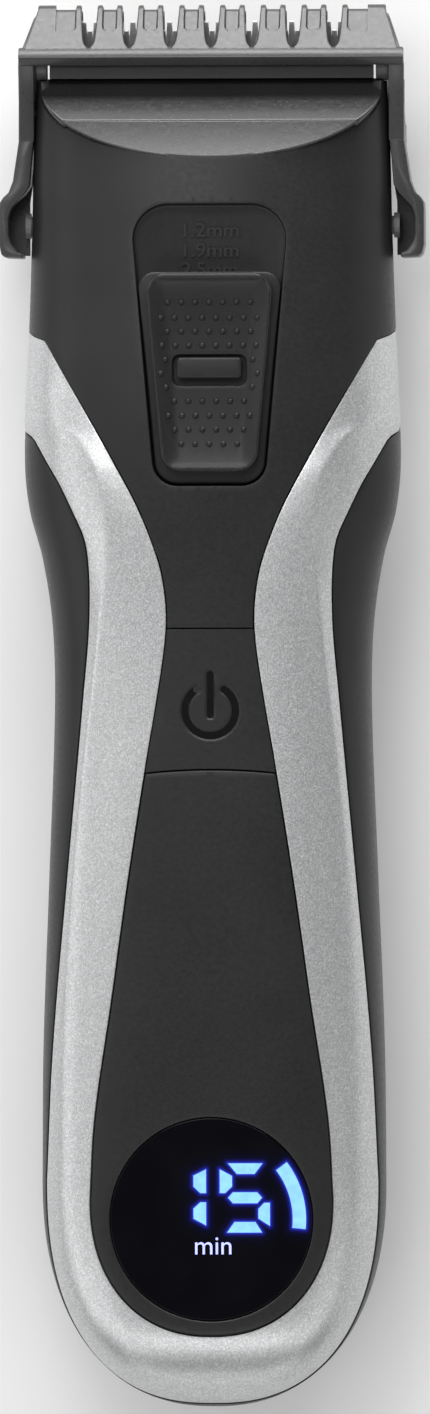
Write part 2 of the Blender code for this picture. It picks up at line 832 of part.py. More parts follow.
def slider(trimmer, finishes):
    low = RECESS_LOW + GAP
    base_top = RECESS_FLOOR + GAP + 1.6
    base = prism(tapered_outline(low, SLIDER_HIGH, GAP, 2.9, 2.0), RECESS_FLOOR + GAP, base_top)
    pad = prism(
        tapered_outline(low + 1.4, SLIDER_HIGH - 0.2, GAP + 0.9, 2.4, 2.0),
        base_top - 0.5,
        SLIDER_TOP,
    )
    dish = prism(
        tapered_outline(low + 1.4 + DISH_MARGIN, SLIDER_HIGH - DISH_MARGIN, 2.4, 1.5, 1.3),
        DISH_FLOOR,
        BEYOND,
    )
    pit_half = KEY_LENGTH / 2 + 0.5
    pit_reach = KEY_WIDTH / 2 + GAP
    pit_floor = KEY_TOP - KEY_HEIGHT - KEY_TRAVEL - GAP
    pit = rounded_box(
        -pit_half, pit_half, KEY_Y - pit_reach - 0.9, KEY_Y + pit_reach, 1.0, pit_floor, BEYOND
    )
    stem = box(-STEM_HALF, STEM_HALF, STEM_LOW, STEM_HIGH, CARRIAGE_TOP + GAP, base_top - 0.5)
    steps = [("UNION", pad), ("DIFFERENCE", dish), ("DIFFERENCE", pit), ("UNION", stem)]
    for y in carriage_screw_places():
        hole = rod((0, y), SCREW_SHANK + SCREW_FIT - 0.1, 0, base_top - 0.8, sides=12)
        steps.append(("DIFFERENCE", hole))
    origin = (0, (low + SLIDER_HIGH) / 2, RECESS_FLOOR)
    trimmer.part("thumb_slider", finishes["black_plastic"], base, *steps, origin=origin)
    key = rounded_box(
        -KEY_LENGTH / 2,
        KEY_LENGTH / 2,
        KEY_Y - KEY_WIDTH / 2,
        KEY_Y + KEY_WIDTH / 2,
        0.9,
        KEY_TOP - KEY_HEIGHT,
        KEY_TOP,
    )
    trimmer.part("lock_key", finishes["black_plastic"], key, origin=(0, KEY_Y, KEY_TOP))


def carriage_screw_places():
    return (STEM_LOW + 2.1, STEM_HIGH - 2.1)


def slide_carriage(trimmer, finishes):
    leg_low, leg_high = BOSS_Y - 2.0, BOSS_Y + 1.8
    bar_low = BOSS_Y - 3.2
    bar_half = CARRIAGE_LEG - 1.9
    leg_in = CARRIAGE_LEG - 3.0
    leg_bottom = PARTING - BOSS_NECK - 0.2
    spine_end = bar_low + 3.0
    spine = box(
        -CARRIAGE_HALF, CARRIAGE_HALF, STEM_LOW - 0.4, spine_end, CARRIAGE_BOTTOM, CARRIAGE_TOP
    )
    knee = box(-CARRIAGE_HALF - 1, CARRIAGE_HALF + 1, bar_low + 0.4, spine_end + 1, 4.0, 6.8)
    crossbar = box(-bar_half, bar_half, bar_low, leg_high, 3.0, CARRIAGE_BOTTOM - 0.1)
    legs = both_sides(box(leg_in, CARRIAGE_LEG, leg_low, leg_high - 0.1, leg_bottom, 3.5))
    centre = (BOSS_Y, PARTING)
    neck_end = HALF - 0.8
    necks = both_sides(rod(centre, BOSS_NECK, CARRIAGE_LEG - 1.0, neck_end + 0.3, "X", 14))
    heads = both_sides(rod(centre, BOSS_HEAD, neck_end, neck_end + 0.7, "X", 16))
    steps = [("UNION", knee), ("UNION", crossbar), ("UNION", legs)]
    steps += [("UNION", necks), ("UNION", heads)]
    sunk = CARRIAGE_BOTTOM + CARRIAGE_SINK
    for y in carriage_screw_places():
        steps.append(("DIFFERENCE", rod((0, y), 1.2, 0, BEYOND, sides=12)))
        steps.append(("DIFFERENCE", rod((0, y), 2.0, 0, sunk, sides=14)))
    origin = (0, BOSS_Y, PARTING)
    trimmer.part("slide_carriage", finishes["grey_plastic"], spine, *steps, origin=origin)
    for name, y in zip(("carriage_screw_lower", "carriage_screw_upper"), carriage_screw_places()):
        head_top = sunk - 0.1
        trimmer.part(
            name,
            finishes["steel"],
            rod((0, y), 1.7, head_top - 0.8, head_top, sides=14),
            ("UNION", rod((0, y), 0.9, head_top - 0.5, RECESS_FLOOR + 0.7, sides=12)),
        )
    leaf_y = STEM_LOW + 12.0
    leaf = [
        (CARRIAGE_HALF + GAP, leaf_y),
        (CARRIAGE_HALF + GAP + 0.5, leaf_y),
        (CARRIAGE_HALF + GAP + 0.9, leaf_y + 4.0),
        (CARRIAGE_HALF + GAP + 1.9, leaf_y + 5.0),
        (CARRIAGE_HALF + GAP + 0.9, leaf_y + 6.0),
        (CARRIAGE_HALF + GAP + 0.4, leaf_y + 6.0),
        (CARRIAGE_HALF + GAP + 1.3, leaf_y + 5.0),
        (CARRIAGE_HALF + GAP + 0.4, leaf_y + 4.2),
    ]
    trimmer.part("detent_spring", finishes["steel"], prism(leaf, CARRIAGE_BOTTOM, CARRIAGE_TOP))


def finger_places():
    """Centres of the comb's fingers, evenly spread between its end walls."""
    pitch = 2 * (COMB_WALL_IN - 1.3) / FINGERS
    return pitch, [pitch * (index - (FINGERS - 1) / 2) for index in range(FINGERS)]


def comb(trimmer, finish):
    nose_y, nose_z = COMB_TIP - 0.65, -0.6
    brow_y, brow_z = COMB_TIP - 6.75, 4.7
    plate_wall = 1.7
    back_y = brow_y - 1.2
    lip = [
        (back_y, brow_z - 0.1),
        (brow_y, brow_z),
        (COMB_TIP - 5.2, 3.5),
        (COMB_TIP - 5.2, 3.5 - plate_wall),
        (brow_y, brow_z - plate_wall),
        (back_y, brow_z - plate_wall),
    ]
    bridge = prism(lip, -COMB_WALL_OUT + 0.6, COMB_WALL_OUT - 0.6, "X")
    slope = [
        (COMB_TIP - 5.6, 3.78),
        (nose_y, nose_z),
        (COMB_TIP, -1.6),
        (COMB_TIP - 0.2, -2.6),
        (COMB_TIP - 0.95, -3.2),
        (COMB_TIP - 1.45, -2.2),
        (COMB_TIP - 1.55, -1.3),
        (COMB_TIP - 2.45, -0.2),
        (COMB_TIP - 6.0, 2.9),
    ]
    pitch, centres = finger_places()
    finger_half = pitch / 2 - 0.5
    fingers = []
    for centre in centres:
        for side in (-1, 1):
            x0 = centre + side * 0.65
            x1 = centre + side * finger_half
            fingers.append(prism(slope, min(x0, x1), max(x0, x1), "X"))
    heel_y = REAR_END + 1.5
    rib = [
        (COMB_TIP - 0.9, -2.6),
        (COMB_TIP - 0.8, -3.2),
        (COMB_TIP - 1.0, -3.5),
        (heel_y, -10.2),
        (heel_y, -8.3),
        (COMB_TIP - 1.85, -3.2),
        (COMB_TIP - 1.5, -2.7),
    ]
    ribs = []
    for centre in centres:
        for side in (-1, 1):
            x = centre + side * (finger_half + 0.65) / 2
            ribs.append(prism(rib, x - RIB_WIDTH / 2, x + RIB_WIDTH / 2, "X"))
    heel = box(-COMB_WALL_OUT + 0.4, COMB_WALL_OUT - 0.4, heel_y - 1.0, heel_y + 2.0, -10.4, -8.1)
    wall = [
        (COMB_TIP - 1.05, -0.6),
        (brow_y - 0.2, brow_z - 0.3),
        (back_y - 0.1, brow_z - 0.3),
        (REAR_END + 6.0, 2.6),
        (REAR_END + 1.0, 2.6),
        (REAR_END + 1.0, -9.8),
        (REAR_END + 3.0, -9.6),
        (COMB_TIP - 1.05, -3.2),
    ]
    walls = both_sides(prism(wall, COMB_WALL_IN, COMB_WALL_OUT, "X"))
    trimmer.part(
        "comb",
        finish,
        bridge,
        ("UNION", together(*fingers)),
        ("UNION", walls),
        ("UNION", heel),
        ("UNION", together(*ribs)),
        ("UNION", both_sides(prism(ear_outline(), ARM_LOW, ARM_HIGH))),
        origin=(0, BOSS_Y, PARTING),
    )


def ear_outline():
    """Right-hand arm and ear from the front: an open hook round the boss."""
    bend = BOSS_Y + 4.6
    outer = [
        (COMB_WALL_OUT, REAR_END + 2.5),
        (COMB_WALL_OUT, REAR_END + 1.0),
        (COMB_WALL_OUT + 0.75, bend + 0.9),
        (COMB_WALL_OUT + 1.3, bend - 0.5),
        (EAR_OUT - 0.5, bend - 1.1),
        (EAR_OUT - 0.06, bend - 1.8),
        (EAR_OUT, bend - 2.7),
        (EAR_OUT, BOSS_Y - 2.5),
        (EAR_OUT - 0.26, BOSS_Y - 3.6),
        (EAR_OUT - 0.66, BOSS_Y - 4.0),
        (EAR_OUT - 2.96, BOSS_Y - 4.1),
    ]
    inner = [
        (EAR_OUT - 2.96, BOSS_Y - 3.6),
        (EAR_OUT - 2.2, BOSS_Y - 3.3),
        (EAR_OUT - EAR_WALL - 0.3, BOSS_Y - 2.2),
        (EAR_OUT - EAR_WALL, BOSS_Y - 1.2),
        (EAR_OUT - EAR_WALL, BOSS_Y + 1.0),
        (EAR_OUT - EAR_WALL - 0.4, BOSS_Y + 2.2),
        (EAR_OUT - EAR_WALL - 1.1, BOSS_Y + 3.0),
        (EAR_OUT - EAR_WALL - 2.0, bend - 0.7),
        (HALF - 0.6, bend + 0.4),
        (HALF - 0.75, REAR_END - 1.2),
        (COMB_WALL_IN + 0.1, REAR_END + 2.5),
    ]
    return outer + inner


# Cutting head


def blade_frame(trimmer, finish):
    start = REAR_END + GAP
    cos, sin = math.cos(BLADE_TILT), math.sin(BLADE_TILT)

    def above_blade(along):
        """Point just above the fixed blade's upper face."""
        return (BLADE_TIP_Y + along * cos, BLADE_TIP_Z + along * sin + GAP)

    low = PARTING - GAP
    heel_z = -7.6
    back = above_blade(-BLADE_LENGTH)[0] - GAP
    mid = above_blade(-9.8)
    side_block = [
        (start, low),
        (start, heel_z),
        (back, heel_z),
        (back, above_blade(-BLADE_LENGTH)[1]),
        mid,
        (mid[0], low),
    ]
    beam = [(start, -5.2), (start, heel_z), (back, heel_z), (back, -5.2)]
    cheek = [
        (mid[0] - 2.0, low),
        (mid[0] - 2.0, above_blade(-9.8 - 2.0)[1]),
        above_blade(-5.6),
        (FRONT_END + 2.9, 0.2),
        (FRONT_END + 2.9, 2.4),
        (FRONT_END + GAP, 2.4),
        (FRONT_END + GAP, low),
    ]
    bar = [(FRONT_END + GAP, 0.2), (FRONT_END + 2.9, 0.2)]
    bar += [(FRONT_END + 2.9, 2.4), (FRONT_END + GAP, 2.4)]
    outer = HALF - 1.5
    cheek_in, cheek_out = FIXED_BLADE_HALF - 1.1, FIXED_BLADE_HALF + 0.2
    steps = [
        ("UNION", prism(beam, -outer, outer, "X")),
        ("UNION", both_sides(prism(cheek, cheek_in, cheek_out, "X"))),
        ("UNION", prism(bar, -cheek_out, cheek_out, "X")),
        ("INTERSECT", loft(start - 6.0, FRONT_END + 8.0)),
    ]
    for x in (-blade_screw_x(), blade_screw_x()):
        hole = on_blade(rod((x, BLADE_SCREW_ALONG), 1.2, -4.0, 1.9, sides=12))
        steps.append(("DIFFERENCE", hole))
    base = both_sides(prism(side_block, 13.0, outer, "X"))
    trimmer.part("blade_frame", finish, base, *steps)


def blade_screw_x():
    return FIXED_BLADE_HALF - 4.0


def toothed_outline(half, back, front):
    """A blade seen from above its own plane, with teeth along its front edge."""
    count = int(2 * half / TOOTH_PITCH)
    outline = [(-half, back), (half, back), (half, front - TOOTH_LENGTH)]
    for index in reversed(range(count)):
        x = TOOTH_PITCH * (index - (count - 1) / 2)
        root = front - TOOTH_LENGTH
        outline += [(x + TOOTH_ROOT, root), (x + TOOTH_POINT, front)]
        outline += [(x - TOOTH_POINT, front), (x - TOOTH_ROOT, root)]
    outline.append((-half, front - TOOTH_LENGTH))
    return outline


def blades(trimmer, finishes):
    fixed = toothed_outline(FIXED_BLADE_HALF, -BLADE_LENGTH, 0.0)
    steps = []
    for x in (-blade_screw_x(), blade_screw_x()):
        steps.append(
            ("DIFFERENCE", on_blade(rod((x, BLADE_SCREW_ALONG), 1.2, -4.0, 4.0, sides=12)))
        )
    trimmer.part(
        "fixed_blade", finishes["blade_steel"], on_blade(prism(fixed, -BLADE_THICKNESS, 0)), *steps
    )
    for name, x in (("blade_screw_left", -blade_screw_x()), ("blade_screw_right", blade_screw_x())):
        head = rod((x, BLADE_SCREW_ALONG), 1.7, -BLADE_THICKNESS - 0.8, -BLADE_THICKNESS - 0.2, sides=14)
        shank = rod((x, BLADE_SCREW_ALONG), 0.9, -BLADE_THICKNESS - 0.5, 1.5, sides=12)
        trimmer.part(name, finishes["steel"], on_blade(head), ("UNION", on_blade(shank)))
    moving = toothed_outline(MOVING_BLADE_HALF, -9.5, -0.9)
    origin = (0, BLADE_TIP_Y - 5.0, BLADE_TIP_Z)
    moving_low = 0.12
    trimmer.part(
        "moving_blade",
        finishes["blade_steel"],
        on_blade(prism(moving, moving_low, moving_low + 0.8)),
        origin=origin,
    )
    foot_low = moving_low + 0.8 + 0.12
    foot = on_blade(box(-8, 8, -9.0, -5.0, foot_low, foot_low + 1.5))
    prong_in = PIN_RADIUS + 0.05
    prong = [
        (PIN_END + GAP, MOTOR_Z - CRANK_THROW - 0.2),
        (FRONT_END - 1.0, MOTOR_Z - CRANK_THROW + 2.0),
        (FRONT_END - 0.1, -2.6),
        (FRONT_END + 0.2, -0.9),
        (PIN_END + GAP, -0.9),
    ]
    prongs = both_sides(prism(prong, prong_in, prong_in + 1.6, "X"))
    trimmer.part(
        "blade_carrier", finishes["white_plastic"], foot, ("UNION", prongs), origin=origin
    )


# Motor and drive


def motor(trimmer, finishes):
    half, tall = MOTOR_WIDTH / 2, MOTOR_HEIGHT / 2
    back = MOTOR_FRONT - MOTOR_LENGTH
    axis = (0, MOTOR_Z)
    screw_x = 6.4
    can = rounded_box(-half, half, MOTOR_Z - tall, MOTOR_Z + tall, 5.5, back, MOTOR_FRONT, "Y")
    bore = rod(axis, SHAFT_RADIUS + GAP, MOTOR_FRONT - 12.3, MOTOR_FRONT + 5, "Y")
    steps = [("UNION", rod(axis, 3.0, MOTOR_FRONT - 1, MOTOR_FRONT + 1.5, "Y")), ("DIFFERENCE", bore)]
    for x in (-screw_x, screw_x):
        hole = rod((x, MOTOR_Z), 1.2, MOTOR_FRONT - 5.3, MOTOR_FRONT + 5, "Y", 12)
        steps.append(("DIFFERENCE", hole))
    trimmer.part("motor_can", finishes["motor_steel"], can, *steps)
    bell = rounded_box(
        -half + 0.6,
        half - 0.6,
        MOTOR_Z - tall + 0.6,
        MOTOR_Z + tall - 0.6,
        4.9,
        back - GAP - BELL_LENGTH,
        back - GAP,
        "Y",
    )
    trimmer.part("motor_end_bell", finishes["white_plastic"], bell)
    plate_low = MOTOR_FRONT + GAP
    plate = rounded_box(
        -half - 0.3, half + 0.3, MOTOR_Z - tall, MOTOR_Z + tall, 2.0, plate_low, plate_low + 2.0, "Y"
    )
    steps = [("DIFFERENCE", rod(axis, 3.3, 0, COMB_TIP, "Y"))]
    for x in (-screw_x, screw_x):
        steps.append(("DIFFERENCE", rod((x, MOTOR_Z), 1.2, 0, COMB_TIP, "Y", 12)))
    trimmer.part("motor_mount", finishes["grey_plastic"], plate, *steps)
    head_low = plate_low + 2.0 + GAP
    for name, x in (("motor_screw_left", -screw_x), ("motor_screw_right", screw_x)):
        head = rod((x, MOTOR_Z), 1.8, head_low, head_low + 1.1, "Y", 14)
        shank = rod((x, MOTOR_Z), 0.9, MOTOR_FRONT - 5.0, head_low + 0.5, "Y", 12)
        trimmer.part(name, finishes["steel"], head, ("UNION", shank))
    seal_low = plate_low + 2.0 + GAP
    trimmer.part(
        "shaft_seal",
        finishes["rubber"],
        rod(axis, 4.2, seal_low, seal_low + 2.4, "Y"),
        ("DIFFERENCE", rod(axis, SHAFT_RADIUS + GAP, 0, COMB_TIP, "Y")),
    )
    shaft_end = CAM_LOW + 2.0
    trimmer.part(
        "motor_shaft",
        finishes["steel"],
        rod(axis, SHAFT_RADIUS, MOTOR_FRONT - 12.0, shaft_end, "Y"),
        origin=(0, MOTOR_FRONT, MOTOR_Z),
    )
    pin = rod((0, MOTOR_Z - CRANK_THROW), PIN_RADIUS, CAM_HIGH - 1.0, PIN_END, "Y")
    trimmer.part(
        "eccentric_cam",
        finishes["white_plastic"],
        rod(axis, CAM_RADIUS, CAM_LOW, CAM_HIGH, "Y", 28),
        ("DIFFERENCE", rod(axis, SHAFT_RADIUS + GAP, 0, shaft_end + GAP, "Y")),
        ("UNION", pin),
        origin=(0, CAM_LOW, MOTOR_Z),
    )


# Battery, boards, charging socket and leads


def battery(trimmer, finishes):
    axis = (0, CELL_Z)
    end = CELL_START + CELL_LENGTH
    cell = rod(axis, CELL_RADIUS, CELL_START, end, "Y", 32)
    trimmer.part("battery_cell", finishes["battery_wrap"], cell)
    cradle_start = BOARD_START - 3.0
    cradle = box(-8.6, 8.6, cradle_start, end - 3, CELL_Z + 4.0, BOARD_BOTTOM - 0.6)
    trimmer.part(
        "battery_cradle",
        finishes["grey_plastic"],
        cradle,
        ("DIFFERENCE", rod(axis, CELL_RADIUS + GAP, 0, COMB_TIP, "Y", 32)),
    )
    for name, low in (("battery_tab_negative", CELL_START - 0.6), ("battery_tab_positive", end + GAP)):
        tab = box(-2.5, 2.5, low, low + 0.3, CELL_Z - 3.0, CELL_Z + 5.0)
        trimmer.part(name, finishes["nickel"], tab)


def boards(trimmer, finishes):
    centre = BUTTON_Y
    board = box(-BOARD_HALF, BOARD_HALF, BOARD_START, BOARD_END, BOARD_BOTTOM, BOARD_TOP)
    trimmer.part("main_board", finishes["circuit_board"], board)
    switch_low = BOARD_TOP + GAP
    trimmer.part(
        "tact_switch",
        finishes["black_plastic"],
        box(-3, 3, centre - 3, centre + 3, switch_low, switch_low + 1.4),
        ("DIFFERENCE", rod((0, centre), 1.8, switch_low + 0.2, BEYOND)),
    )
    plunger_low = switch_low + 0.2 + GAP + BUTTON_TRAVEL
    trimmer.part(
        "switch_plunger",
        finishes["white_plastic"],
        rod((0, centre), 1.5, plunger_low, BOARD_TOP + 2.5 - GAP),
        origin=(0, centre, plunger_low),
    )
    chip = box(-3.5, 3.5, centre - 28, centre - 21, BOARD_TOP + GAP, BOARD_TOP + GAP + 1.2)
    trimmer.part("controller_chip", finishes["black_plastic"], chip)


def charging_socket(trimmer, finishes):
    half, tall = SOCKET_HALF, SOCKET_HEIGHT / 2
    low, high = 1.4, 8.6
    shell = rounded_box(-half, half, SOCKET_Z - tall, SOCKET_Z + tall, 1.5, low, high, "Y")
    hollow = rounded_box(
        -half + 0.35,
        half - 0.35,
        SOCKET_Z - tall + 0.35,
        SOCKET_Z + tall - 0.35,
        1.2,
        low - 1,
        high - 0.4,
        "Y",
    )
    trimmer.part("charge_socket_shell", finishes["nickel"], shell, ("DIFFERENCE", hollow))
    tongue = box(-3.3, 3.3, low + 0.8, high - 0.4 - GAP, SOCKET_Z - 0.35, SOCKET_Z + 0.35)
    trimmer.part("charge_socket_tongue", finishes["black_plastic"], tongue)
    board_top = SOCKET_Z - tall - GAP
    board = box(-6.5, 6.5, 5.4, CELL_START - 2.5, board_top - 1.0, board_top)
    trimmer.part("charge_board", finishes["circuit_board"], board)


def leads(trimmer, finishes):
    end = CELL_START + CELL_LENGTH
    under_board = BOARD_BOTTOM - 1.2
    bell_back = MOTOR_FRONT - MOTOR_LENGTH - GAP - BELL_LENGTH
    for name, finish, x in (("red", "red_lead", 6.0), ("black", "black_lead", -6.0)):
        motor_route = [
            (x, BOARD_END - 12.0, under_board),
            (x, BOARD_END - 8.0, under_board - 1.2),
            (x, bell_back - 4.0, 1.0),
            (x, bell_back - 0.5, MOTOR_Z + 2.0),
        ]
        trimmer.wire(f"motor_lead_{name}", finishes[finish], motor_route, 0.55)
    red_route = [
        (4.0, end + 1.2, CELL_Z + 4.0),
        (4.2, end + 2.4, CELL_Z + 7.0),
        (4.4, end + 3.6, under_board - 2.0),
        (4.5, end + 5.0, under_board),
    ]
    trimmer.wire("battery_lead_red", finishes["red_lead"], red_route, 0.55)
    black_route = [
        (-9.6, CELL_START - 1.2, CELL_Z + 4.5),
        (-9.9, CELL_START + 4.0, CELL_Z + 8.0),
        (-10.2, BOARD_START - 2.0, under_board - 1.5),
        (-10.4, BOARD_START + 2.0, under_board - 0.4),
        (-9.6, BOARD_START + 6.0, under_board),
    ]
    trimmer.wire("battery_lead_black", finishes["black_lead"], black_route, 0.55)


def housing_screws(trimmer, finish):
    for name, x, y in screw_sites():
        seat = seat_height(x, y) - 0.1
        top = front_height(abs(x) + POST_RADIUS, y) - 2.4 - GAP
        head = rod((x, y), SCREW_HEAD, seat - SCREW_HEAD_HEIGHT, seat, sides=18)
        shank = rod((x, y), SCREW_SHANK, seat - 0.5, min(top, seat + 14.0), sides=12)
        drive = box(x - 1.1, x + 1.1, y - 0.25, y + 0.25, seat - 4, seat - SCREW_HEAD_HEIGHT + 0.7)
        trimmer.part(name, finish, head, ("UNION", shank), ("DIFFERENCE", drive))


def finish_library():
    return {
        "black_plastic": material("black_plastic", (0.018, 0.018, 0.019), 0.5),
        "grey_plastic": material("grey_plastic", (0.2, 0.2, 0.21), 0.5),
        "white_plastic": material("white_plastic", (0.75, 0.75, 0.72), 0.4),
        "silver_paint": material("silver_paint", (0.55, 0.56, 0.57), 0.35, 0.8),
        "glass": material("display_glass", (0.004, 0.004, 0.006), 0.08),
        "comb_plastic": material("comb_plastic", (0.05, 0.05, 0.052), 0.4),
        "blade_steel": material("blade_steel", (0.6, 0.6, 0.6), 0.2, 1.0),
        "motor_steel": material("motor_steel", (0.5, 0.5, 0.5), 0.35, 1.0),
        "steel": material("steel", (0.5, 0.5, 0.5), 0.3, 1.0),
        "nickel": material("nickel", (0.7, 0.68, 0.6), 0.25, 1.0),
        "rubber": material("rubber", (0.02, 0.02, 0.02), 0.8),
        "circuit_board": material("circuit_board", (0.02, 0.12, 0.05), 0.4),
        "battery_wrap": material("battery_wrap", (0.05, 0.12, 0.4), 0.4),
        "ribbon": material("ribbon", (0.6, 0.35, 0.1), 0.5),
        "red_lead": material("red_lead", (0.5, 0.02, 0.02), 0.5),
        "black_lead": material("black_lead", (0.02, 0.02, 0.02), 0.5),
    }


def main():
    clear_scene()
    finishes = finish_library()
    trimmer = Trimmer()
    front_housing(trimmer, finishes["black_plastic"])
    rear_housing(trimmer, finishes["black_plastic"])
    silver_frame(trimmer, finishes["silver_paint"])
    front_panels(trimmer, finishes["black_plastic"])
    display(trimmer, finishes)
    slider(trimmer, finishes)
    slide_carriage(trimmer, finishes)
    comb(trimmer, finishes["comb_plastic"])
    blade_frame(trimmer, finishes["black_plastic"])
    blades(trimmer, finishes)
    motor(trimmer, finishes)
    battery(trimmer, finishes)
    boards(trimmer, finishes)
    charging_socket(trimmer, finishes)
    leads(trimmer, finishes)
    housing_screws(trimmer, finishes["steel"])


main()
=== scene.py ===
"""The beard trimmer's looks: fine shells, comb, display, materials, light and camera.

Lengths are in millimetres in the trimmer's own frame: X across, Y from the butt to the comb,
Z out of the front, with z = 0 at the widest plane. world() turns them into the frame's metres.
"""

import math

import bmesh
import bpy
import numpy as np
from mathutils import Matrix, Vector
from mathutils.geometry import delaunay_2d_cdt

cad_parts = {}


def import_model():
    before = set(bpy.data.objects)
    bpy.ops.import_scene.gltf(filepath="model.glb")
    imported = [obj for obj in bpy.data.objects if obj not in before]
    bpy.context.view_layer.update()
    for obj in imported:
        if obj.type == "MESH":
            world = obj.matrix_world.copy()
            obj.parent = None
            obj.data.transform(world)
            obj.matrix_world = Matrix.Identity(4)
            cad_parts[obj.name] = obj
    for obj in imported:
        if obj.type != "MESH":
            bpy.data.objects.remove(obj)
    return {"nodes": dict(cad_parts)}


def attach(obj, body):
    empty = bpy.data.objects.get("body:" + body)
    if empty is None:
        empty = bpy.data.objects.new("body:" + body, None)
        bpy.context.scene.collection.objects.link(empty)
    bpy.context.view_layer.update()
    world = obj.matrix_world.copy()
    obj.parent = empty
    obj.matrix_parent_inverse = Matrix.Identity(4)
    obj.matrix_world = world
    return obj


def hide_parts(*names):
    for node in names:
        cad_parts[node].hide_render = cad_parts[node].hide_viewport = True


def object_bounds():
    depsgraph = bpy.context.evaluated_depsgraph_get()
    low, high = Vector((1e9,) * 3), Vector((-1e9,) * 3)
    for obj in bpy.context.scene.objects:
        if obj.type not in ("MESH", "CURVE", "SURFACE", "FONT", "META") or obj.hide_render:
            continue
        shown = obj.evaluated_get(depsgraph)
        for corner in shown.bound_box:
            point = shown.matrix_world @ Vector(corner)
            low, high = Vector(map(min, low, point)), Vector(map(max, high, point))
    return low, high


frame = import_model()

CAD_LOW, CAD_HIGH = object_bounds()
MM = 0.001
BUTT = CAD_LOW[1] / MM
LENGTH = (CAD_HIGH[1] - CAD_LOW[1]) / MM
REST_DEPTH = 17.0

# The body's driving sizes, as the CAD has them
HALF = 23.5
WAIST = 98.25
FRONT_END = WAIST + 67.35
REAR_END = FRONT_END - 8.6
BUTT_LENGTH = 28.25
PARTING = -2.5
REAR_POWER = 2.6
SECTIONS = np.array((
    (BUTT_LENGTH, 2.05, 13.0, 17.6, 3.6), (BUTT_LENGTH + 16.75, 2.2, 13.0, 18.0, 3.4),
    (WAIST - 32.25, 2.95, 12.6, 17.2, 3.0), (WAIST - 10.25, 3.7, 11.8, 15.6, 2.7),
    (WAIST - 0.25, 3.4, 11.6, 15.4, 2.6), (WAIST + 7.75, 2.2, 11.8, 16.0, 2.5),
    (WAIST + 13.75, 0.6, 12.1, 16.8, 2.4), (WAIST + 19.75, 0.0, 12.3, 17.3, 2.4),
    (WAIST + 29.75, 0.3, 12.2, 17.5, 2.3), (WAIST + 39.75, 0.7, 11.6, 15.8, 2.2),
    (WAIST + 49.75, 1.0, 10.8, 11.4, 2.15), (REAR_END, 1.2, 9.9, 7.4, 2.1),
    (FRONT_END + 0.15, 1.6, 9.0, 5.2, 2.1),
))

# Silver frame
DISPLAY_Y = 23.6
DISPLAY_RADIUS = 12.7
FRAME_CENTRE = DISPLAY_Y + 2.4
FRAME_DROP = DISPLAY_RADIUS + 4.3
FRAME_HALF = DISPLAY_RADIUS + 2.45
FRAME_POWER = 2.2
WAIST_HALF = 5.44
FRAME_INNER = np.array((
    (FRAME_CENTRE, FRAME_HALF), (FRAME_CENTRE + 10.0, FRAME_HALF - 0.6),
    (FRAME_CENTRE + 24.75, WAIST_HALF + 6.96), (WAIST - 32.5, WAIST_HALF + 4.86),
    (WAIST - 17.5, WAIST_HALF + 2.5), (WAIST - 10.0, WAIST_HALF + 1.22),
    (WAIST - 3.75, WAIST_HALF + 0.28), (WAIST, WAIST_HALF), (WAIST + 3.75, WAIST_HALF + 0.26),
    (WAIST + 7.5, WAIST_HALF + 1.06), (WAIST + 13.75, WAIST_HALF + 3.46),
    (WAIST + 20.0, HALF - 11.3), (WAIST + 25.0, HALF - 8.5), (WAIST + 30.0, HALF - 5.6),
    (WAIST + 35.0, HALF - 2.7),
))
FRAME_TIP = WAIST + 37.2
OUTER_DROP = 27.8
OUTER_POWER = 2.4
SIDE_PANEL = np.array((
    (BUTT_LENGTH, 0.7), (BUTT_LENGTH + 15.0, 1.3), (WAIST - 32.5, 2.45), (WAIST - 10.0, 3.75),
    (WAIST, 4.9), (WAIST + 7.5, 5.9), (WAIST + 11.25, 6.05), (WAIST + 16.25, 4.7),
    (WAIST + 20.0, 2.8), (WAIST + 24.85, 0.0),
))
SIDE_PANEL_END = WAIST + 24.85
CREASE = np.array((
    (38.0, 18.6), (50.0, 18.3), (63.3, 17.4), (80.8, 15.7), (90.4, 14.4), (100.8, 13.2),
    (106.5, 12.65), (112.8, 13.2), (117.4, 14.3), (121.3, 16.2), (126.0, 20.1), (131.0, 22.6),
))

# Other named places
BUTTON_LOW = WAIST - 19.1
BUTTON_HIGH = WAIST - 1.1
ICON_Y = WAIST - 11.3
ICON_RADIUS = 3.15
ICON_LINE = 0.56
ICON_GAP = 33.0
ICON_BAR_LOW = -0.55
ICON_BAR_HIGH = 4.5
ICON_DEPTH = 0.17
RECESS_LOW = WAIST + 16.65
RECESS_HIGH = WAIST + 51.85
RECESS_TOP_HALF = 10.0
RECESS_LOW_HALF = 6.9
RECESS_FLOOR = 9.2
SLIDER_HIGH = WAIST + 43.35
SLIDER_TOP = 13.4
PAD_LOW = RECESS_LOW + 1.75
PAD_HIGH = SLIDER_HIGH - 0.15
PAD_ROUND = 0.45
KEY_Y = WAIST + 31.35
SCOOP_START = FRONT_END - 9.5
SCOOP_TUCK = 0.25
SCOOP_FOLD = 4.4
# Height at the fold, slope there, and how the slope grows
SCOOP_UPPER_FALL = (7.6, 0.54, 0.008)
SCOOP_LOWER_FALL = (7.6, 1.2, 0.01)
SCOOP_HALF = 21.25
BOSS_Y = WAIST + 49.35
SEAM = 0.09

# Walls and rounded edges of the visible shells
WALL = 1.2
EDGE = 0.2
HOUSING_EDGE = 0.3
REAR_WALL = 1.3
REAR_EDGE = 0.18
BUTTON_EDGE = 0.16
LENS_WALL = 1.0
LENS_EDGE = 0.14
LENS_DROP = 0.04

